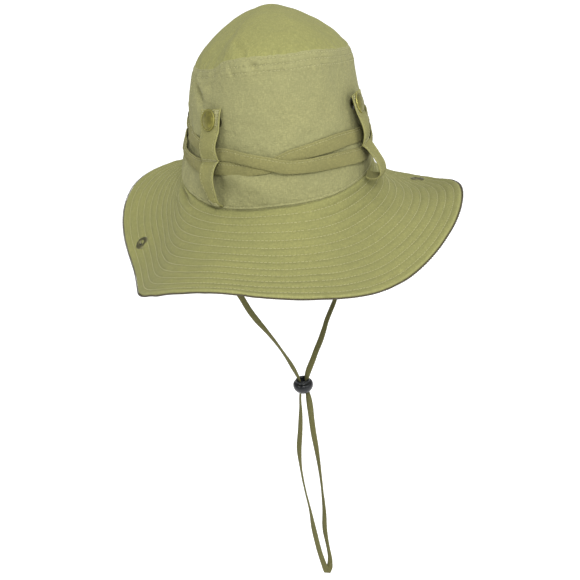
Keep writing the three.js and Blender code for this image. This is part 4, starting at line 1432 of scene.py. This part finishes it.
# Course of each strand down from the crown: x, z
CORD_LEFT = [
    (-70.2, 11.0), (-68.0, -12.0), (-63.0, -58.0), (-53.5, -100.0), (-44.1, -124.6),
    (-40.0, -135.6), (-34.6, -147.1), (-28.3, -158.8), (-21.9, -170.8), (-16.3, -182.6),
    (-11.1, -194.5), (-6.8, -206.2), (-3.6, -217.0), (-3.0, -224.0), (-3.6, -231.0),
    (-4.7, -239.8), (-5.4, -250.8), (-8.2, -272.8), (-11.6, -295.1), (-12.1, -318.5),
    (-10.7, -342.9), (-8.3, -367.9), (-6.8, -393.3), (-4.3, -419.4), (-1.6, -436.5),
    (0.6, -447.4),
]
CORD_RIGHT = [
    (70.2, 11.0), (67.5, -14.0), (60.0, -66.0), (49.0, -112.0), (37.5, -142.2),
    (32.9, -151.5), (28.3, -160.9), (24.6, -170.6), (20.6, -180.3), (15.8, -189.8),
    (11.4, -199.6), (6.6, -209.5), (3.6, -217.5), (3.0, -224.0), (3.2, -231.0),
    (3.7, -241.8), (4.0, -253.0), (4.1, -275.8), (5.1, -299.3), (5.7, -323.0),
    (5.8, -347.1), (5.4, -371.7), (3.8, -396.0), (5.0, -420.5), (5.6, -432.8),
    (4.4, -444.6),
]
CORD_BOTTOM = [2.4, 0, -449.0]
# Twist of each strand: z, degrees
TWIST_LEFT = [
    (11, 0), (-58, 10), (-125, 12), (-147, 5), (-159, 40), (-183, 65), (-206, 40),
    (-224, 90), (-240, 88), (-262, 55), (-295, 48), (-318, 82), (-343, 82), (-368, 75),
    (-393, 40), (-419, 35), (-434, 25), (-446, 0),
]
TWIST_RIGHT = [
    (11, 0), (-60, -55), (-142, -72), (-165, -64), (-181, -52), (-195, -50), (-209, -30),
    (-224, -90), (-241, -30), (-253, -10), (-276, -25), (-299, -45), (-323, -72),
    (-347, -84), (-371, -64), (-396, -45), (-421, -62), (-435, -50), (-446, 0),
]
# Turned section of the slider: radius, height
BEAD = [
    (3.9, 5.4), (4.3, 6.15), (5.2, 6.5), (6.0, 6.2), (6.3, 5.5), (6.2, 4.9), (6.7, 4.3),
    (7.9, 3.4), (8.5, 2.0), (8.7, 0.4), (8.5, -1.5), (7.8, -3.4), (6.9, -4.7),
    (6.2, -5.7), (5.2, -6.3), (4.3, -6.1), (3.9, -5.4), (3.7, 0.0),
]


def cord_strand(course, twist, bow):
    """Points down one strand and its twist in degrees."""
    points = [(x, bow * math.sin((z - SLIDER_Z) / 30.0), z) for x, z in course]
    points = spline(points, 430)
    return points, table_value(-points[:, 2], [(-z, degrees) for z, degrees in twist])


def chin_cord():
    """One flat tape: down the first strand, round the bottom fold and up the other. The
    first, CORD_LEFT, hangs at -X."""
    first, first_twist = cord_strand(CORD_LEFT, TWIST_LEFT, bow=0.2)
    second, second_twist = cord_strand(CORD_RIGHT, TWIST_RIGHT, bow=-0.2)
    centre = np.concatenate([first, [CORD_BOTTOM], second[::-1]])
    twist = np.radians(np.concatenate([first_twist, [0], second_twist[::-1]]))
    kernel = np.exp(-((np.arange(-14, 15) / 7.0) ** 2))
    twist = np.convolve(np.pad(twist, 14, mode="edge"), kernel / kernel.sum(), "valid")[:, None]
    # at twist 0 the tape is flat to the front
    along = unit(np.gradient(centre, axis=0))
    wide = unit(np.cross(np.array([[0, 1.0, 0]]), along))
    normal = np.cross(along, wide)
    wide, normal = (
        wide * np.cos(twist) + normal * np.sin(twist),
        -wide * np.sin(twist) + normal * np.cos(twist),
    )
    # narrower through the slider, wider at the fold
    z = centre[:, 2]
    half = CORD_HALF + 0.15 * noise(centre, size=21, seed=71)
    away = np.abs(z - SLIDER_Z)
    half = np.where(away < 9, np.interp(away, [0, 6, 9], [2.1, 2.2, CORD_HALF]), half)
    half = np.where(z < -440, np.interp(-z, [440, 449], [CORD_HALF, 2.8]), half)

    def relief(distance, x):
        return 0.06 * flat_noise(distance, x, size=1.8, seed=72)

    ob = ribbon("chin_cord_tape", centre, wide, normal, half, 1.15, CORD, relief,
                across=11, belly=0.75, curl=0.25)
    ride(ob, "chin_cord", "cord_tape", "chin_cord")


def cord_tack(side):
    """Five rows of zigzag thread where the cord meets the crown."""
    sign = SIDES[side]
    low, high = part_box("cord_tack_" + side)
    centre = (np.array(low) + np.array(high)) / 2 / MM + ORIGIN
    y = np.arange(-3.4, 3.41, 0.55)
    swing = np.where(np.arange(len(y)) % 2, 0.5, -0.5)
    rows = []
    for row in range(5):
        z = centre[2] - 3 + row * 1.5 + swing
        points = np.stack([np.full_like(y, centre[0] - sign * 0.6), centre[1] + y, z], -1)
        rows.append((points[:-1], points[1:], np.tile([-sign, 0, 0], (len(y) - 1, 1))))
    ob = stitches("cord_tack_thread_" + side, rows, 0.3, THREAD_DARK)
    ride(ob, "crown", "cord_tape", "cord_tack_" + side)


def slider():
    """The bead on the cord; its outside is swollen beyond a radius of 4.5."""
    matrix = np.eye(4)
    matrix[2, 3] = SLIDER_Z
    section = [(r if r < 4.5 else 4.5 + (r - 4.5) * 1.13, z) for r, z in BEAD]
    section = spline(section + section[:1], 96)[:-1]
    ob = lathe("slider_bead", section, matrix, BLACK, segments=96, sharp=60)
    ride(ob, "slider", "slider_plastic", "slider")


# ------------------------------------------------------------ floor, lights, camera
# Camera: degrees, metres from its target, focal length in mm on a 36 mm sensor
AZIMUTH, ELEVATION, ROLL = radians(-8.183), radians(28.137), radians(7.003)
CAMERA_DISTANCE, FOCAL_LENGTH = 1.100488, 77.117645
CAMERA_TARGET = (-1.41, 0, -123.624)  # mm
# Disk lights, in metres: name, place, target, size, power
AREA_LIGHTS = [
    ("key", (-0.05, -1.95, 1.5), (0, 0, -0.12), 0.8, 50),
    ("fill_right", (1.6, -1.7, 0.5), (0, 0, -0.12), 1.4, 15),
    ("fill_left", (-2.1, -1.0, 1.0), (0, 0, -0.05), 1.0, 17),
    ("rim", (0.4, 1.7, 1.3), (0, 0, -0.12), 1.2, 10),
]


def stage_floor():
    """A white grid of 1 m squares, 18 m across."""
    reach, z = 9, -1.28
    span = range(-reach, reach + 1)
    n = len(span)
    faces = [
        (i * n + j, (i + 1) * n + j, (i + 1) * n + j + 1, i * n + j + 1)
        for i in range(n - 1) for j in range(n - 1)
    ]
    mesh = bpy.data.meshes.new("floor")
    mesh.from_pydata([(float(x), float(y), z) for x in span for y in span], [], faces)
    floor = link("floor", mesh)
    g = Graph("floor_paint")
    paint = g.mix(g.noise(g.coords("Object"), scale=2.0), (0.90, 0.90, 0.90), (0.93, 0.93, 0.93))
    g.set(
        Base_Color=paint,
        Roughness=0.9,
        Emission_Color=(1.0, 1.0, 1.0),
        Emission_Strength=0.42,
    )
    mesh.materials.append(g.material)


def backdrop():
    """A plain white world to the camera, and softer light from it on the hat."""
    world = bpy.data.worlds.new("studio")
    bpy.context.scene.world = world
    world.use_nodes = True
    tree = world.node_tree
    background = tree.nodes["Background"]
    background.inputs["Color"].default_value = (1, 1, 1, 1)
    path = tree.nodes.new("ShaderNodeLightPath")
    glow = tree.nodes.new("ShaderNodeMapRange")
    tree.links.new(path.outputs["Is Camera Ray"], glow.inputs["Value"])
    glow.inputs["To Min"].default_value = 0.53
    glow.inputs["To Max"].default_value = 1.1
    tree.links.new(glow.outputs[0], background.inputs["Strength"])


def lights():
    for name, place, target, size, power in AREA_LIGHTS:
        light = bpy.data.lights.new(name, "AREA")
        light.shape = "DISK"
        light.size = size
        light.energy = power
        ob = link(name, light)
        ob.location = place
        aim = Vector(target) - Vector(place)
        ob.rotation_euler = aim.to_track_quat("-Z", "Y").to_euler()
    sun = bpy.data.lights.new("floor_wash", "SUN")
    sun.energy = 0.9
    sun.angle = radians(60)
    link("floor_wash", sun).rotation_euler = (radians(8), radians(12), 0)


def camera():
    lens = bpy.data.cameras.new("camera")
    ob = link("camera", lens)
    bpy.context.scene.camera = ob
    level = math.cos(ELEVATION)
    back = Vector((math.sin(AZIMUTH) * level, -math.cos(AZIMUTH) * level, math.sin(ELEVATION)))
    right = (-back).cross(Vector((0, 0, 1))).normalized()
    up = right.cross(-back)
    x = right * math.cos(ROLL) - up * math.sin(ROLL)
    y = right * math.sin(ROLL) + up * math.cos(ROLL)
    matrix = Matrix((x, y, back)).transposed().to_4x4()
    matrix.translation = Vector(to_frame(CAMERA_TARGET)) + back * CAMERA_DISTANCE
    ob.matrix_world = matrix
    lens.sensor_width = 36
    lens.lens = FOCAL_LENGTH
    lens.clip_start, lens.clip_end = 0.01, 60


# ------------------------------------------------------------------------- assembly
crown_panel("front", start_degrees=-90)
crown_panel("back", start_degrees=90)
crown_tip()
crown_stitching()
for side in SIDES:
    brim_cloth(side)
    brim_stitching(side)
    brim_binding(side)
    brim_edge_stitching(side)
sweatband()
label()
strand("outer", BAND_OUTER, BAND_INNER, over=2.35, seed=41, right_lift=-0.6)
strand("inner", BAND_INNER, BAND_OUTER, over=0.0, seed=51, right_lift=0.8)
for name in TABS:
    tab(name)
for side in SIDES:
    brim_snap(side)
chin_cord()
for side in SIDES:
    cord_tack(side)
slider()

stage_floor()
backdrop()
lights()
camera()
view = bpy.context.scene.view_settings
view.view_transform = "Standard"
view.look = "None"
view.exposure = 0.0
view.gamma = 1.0
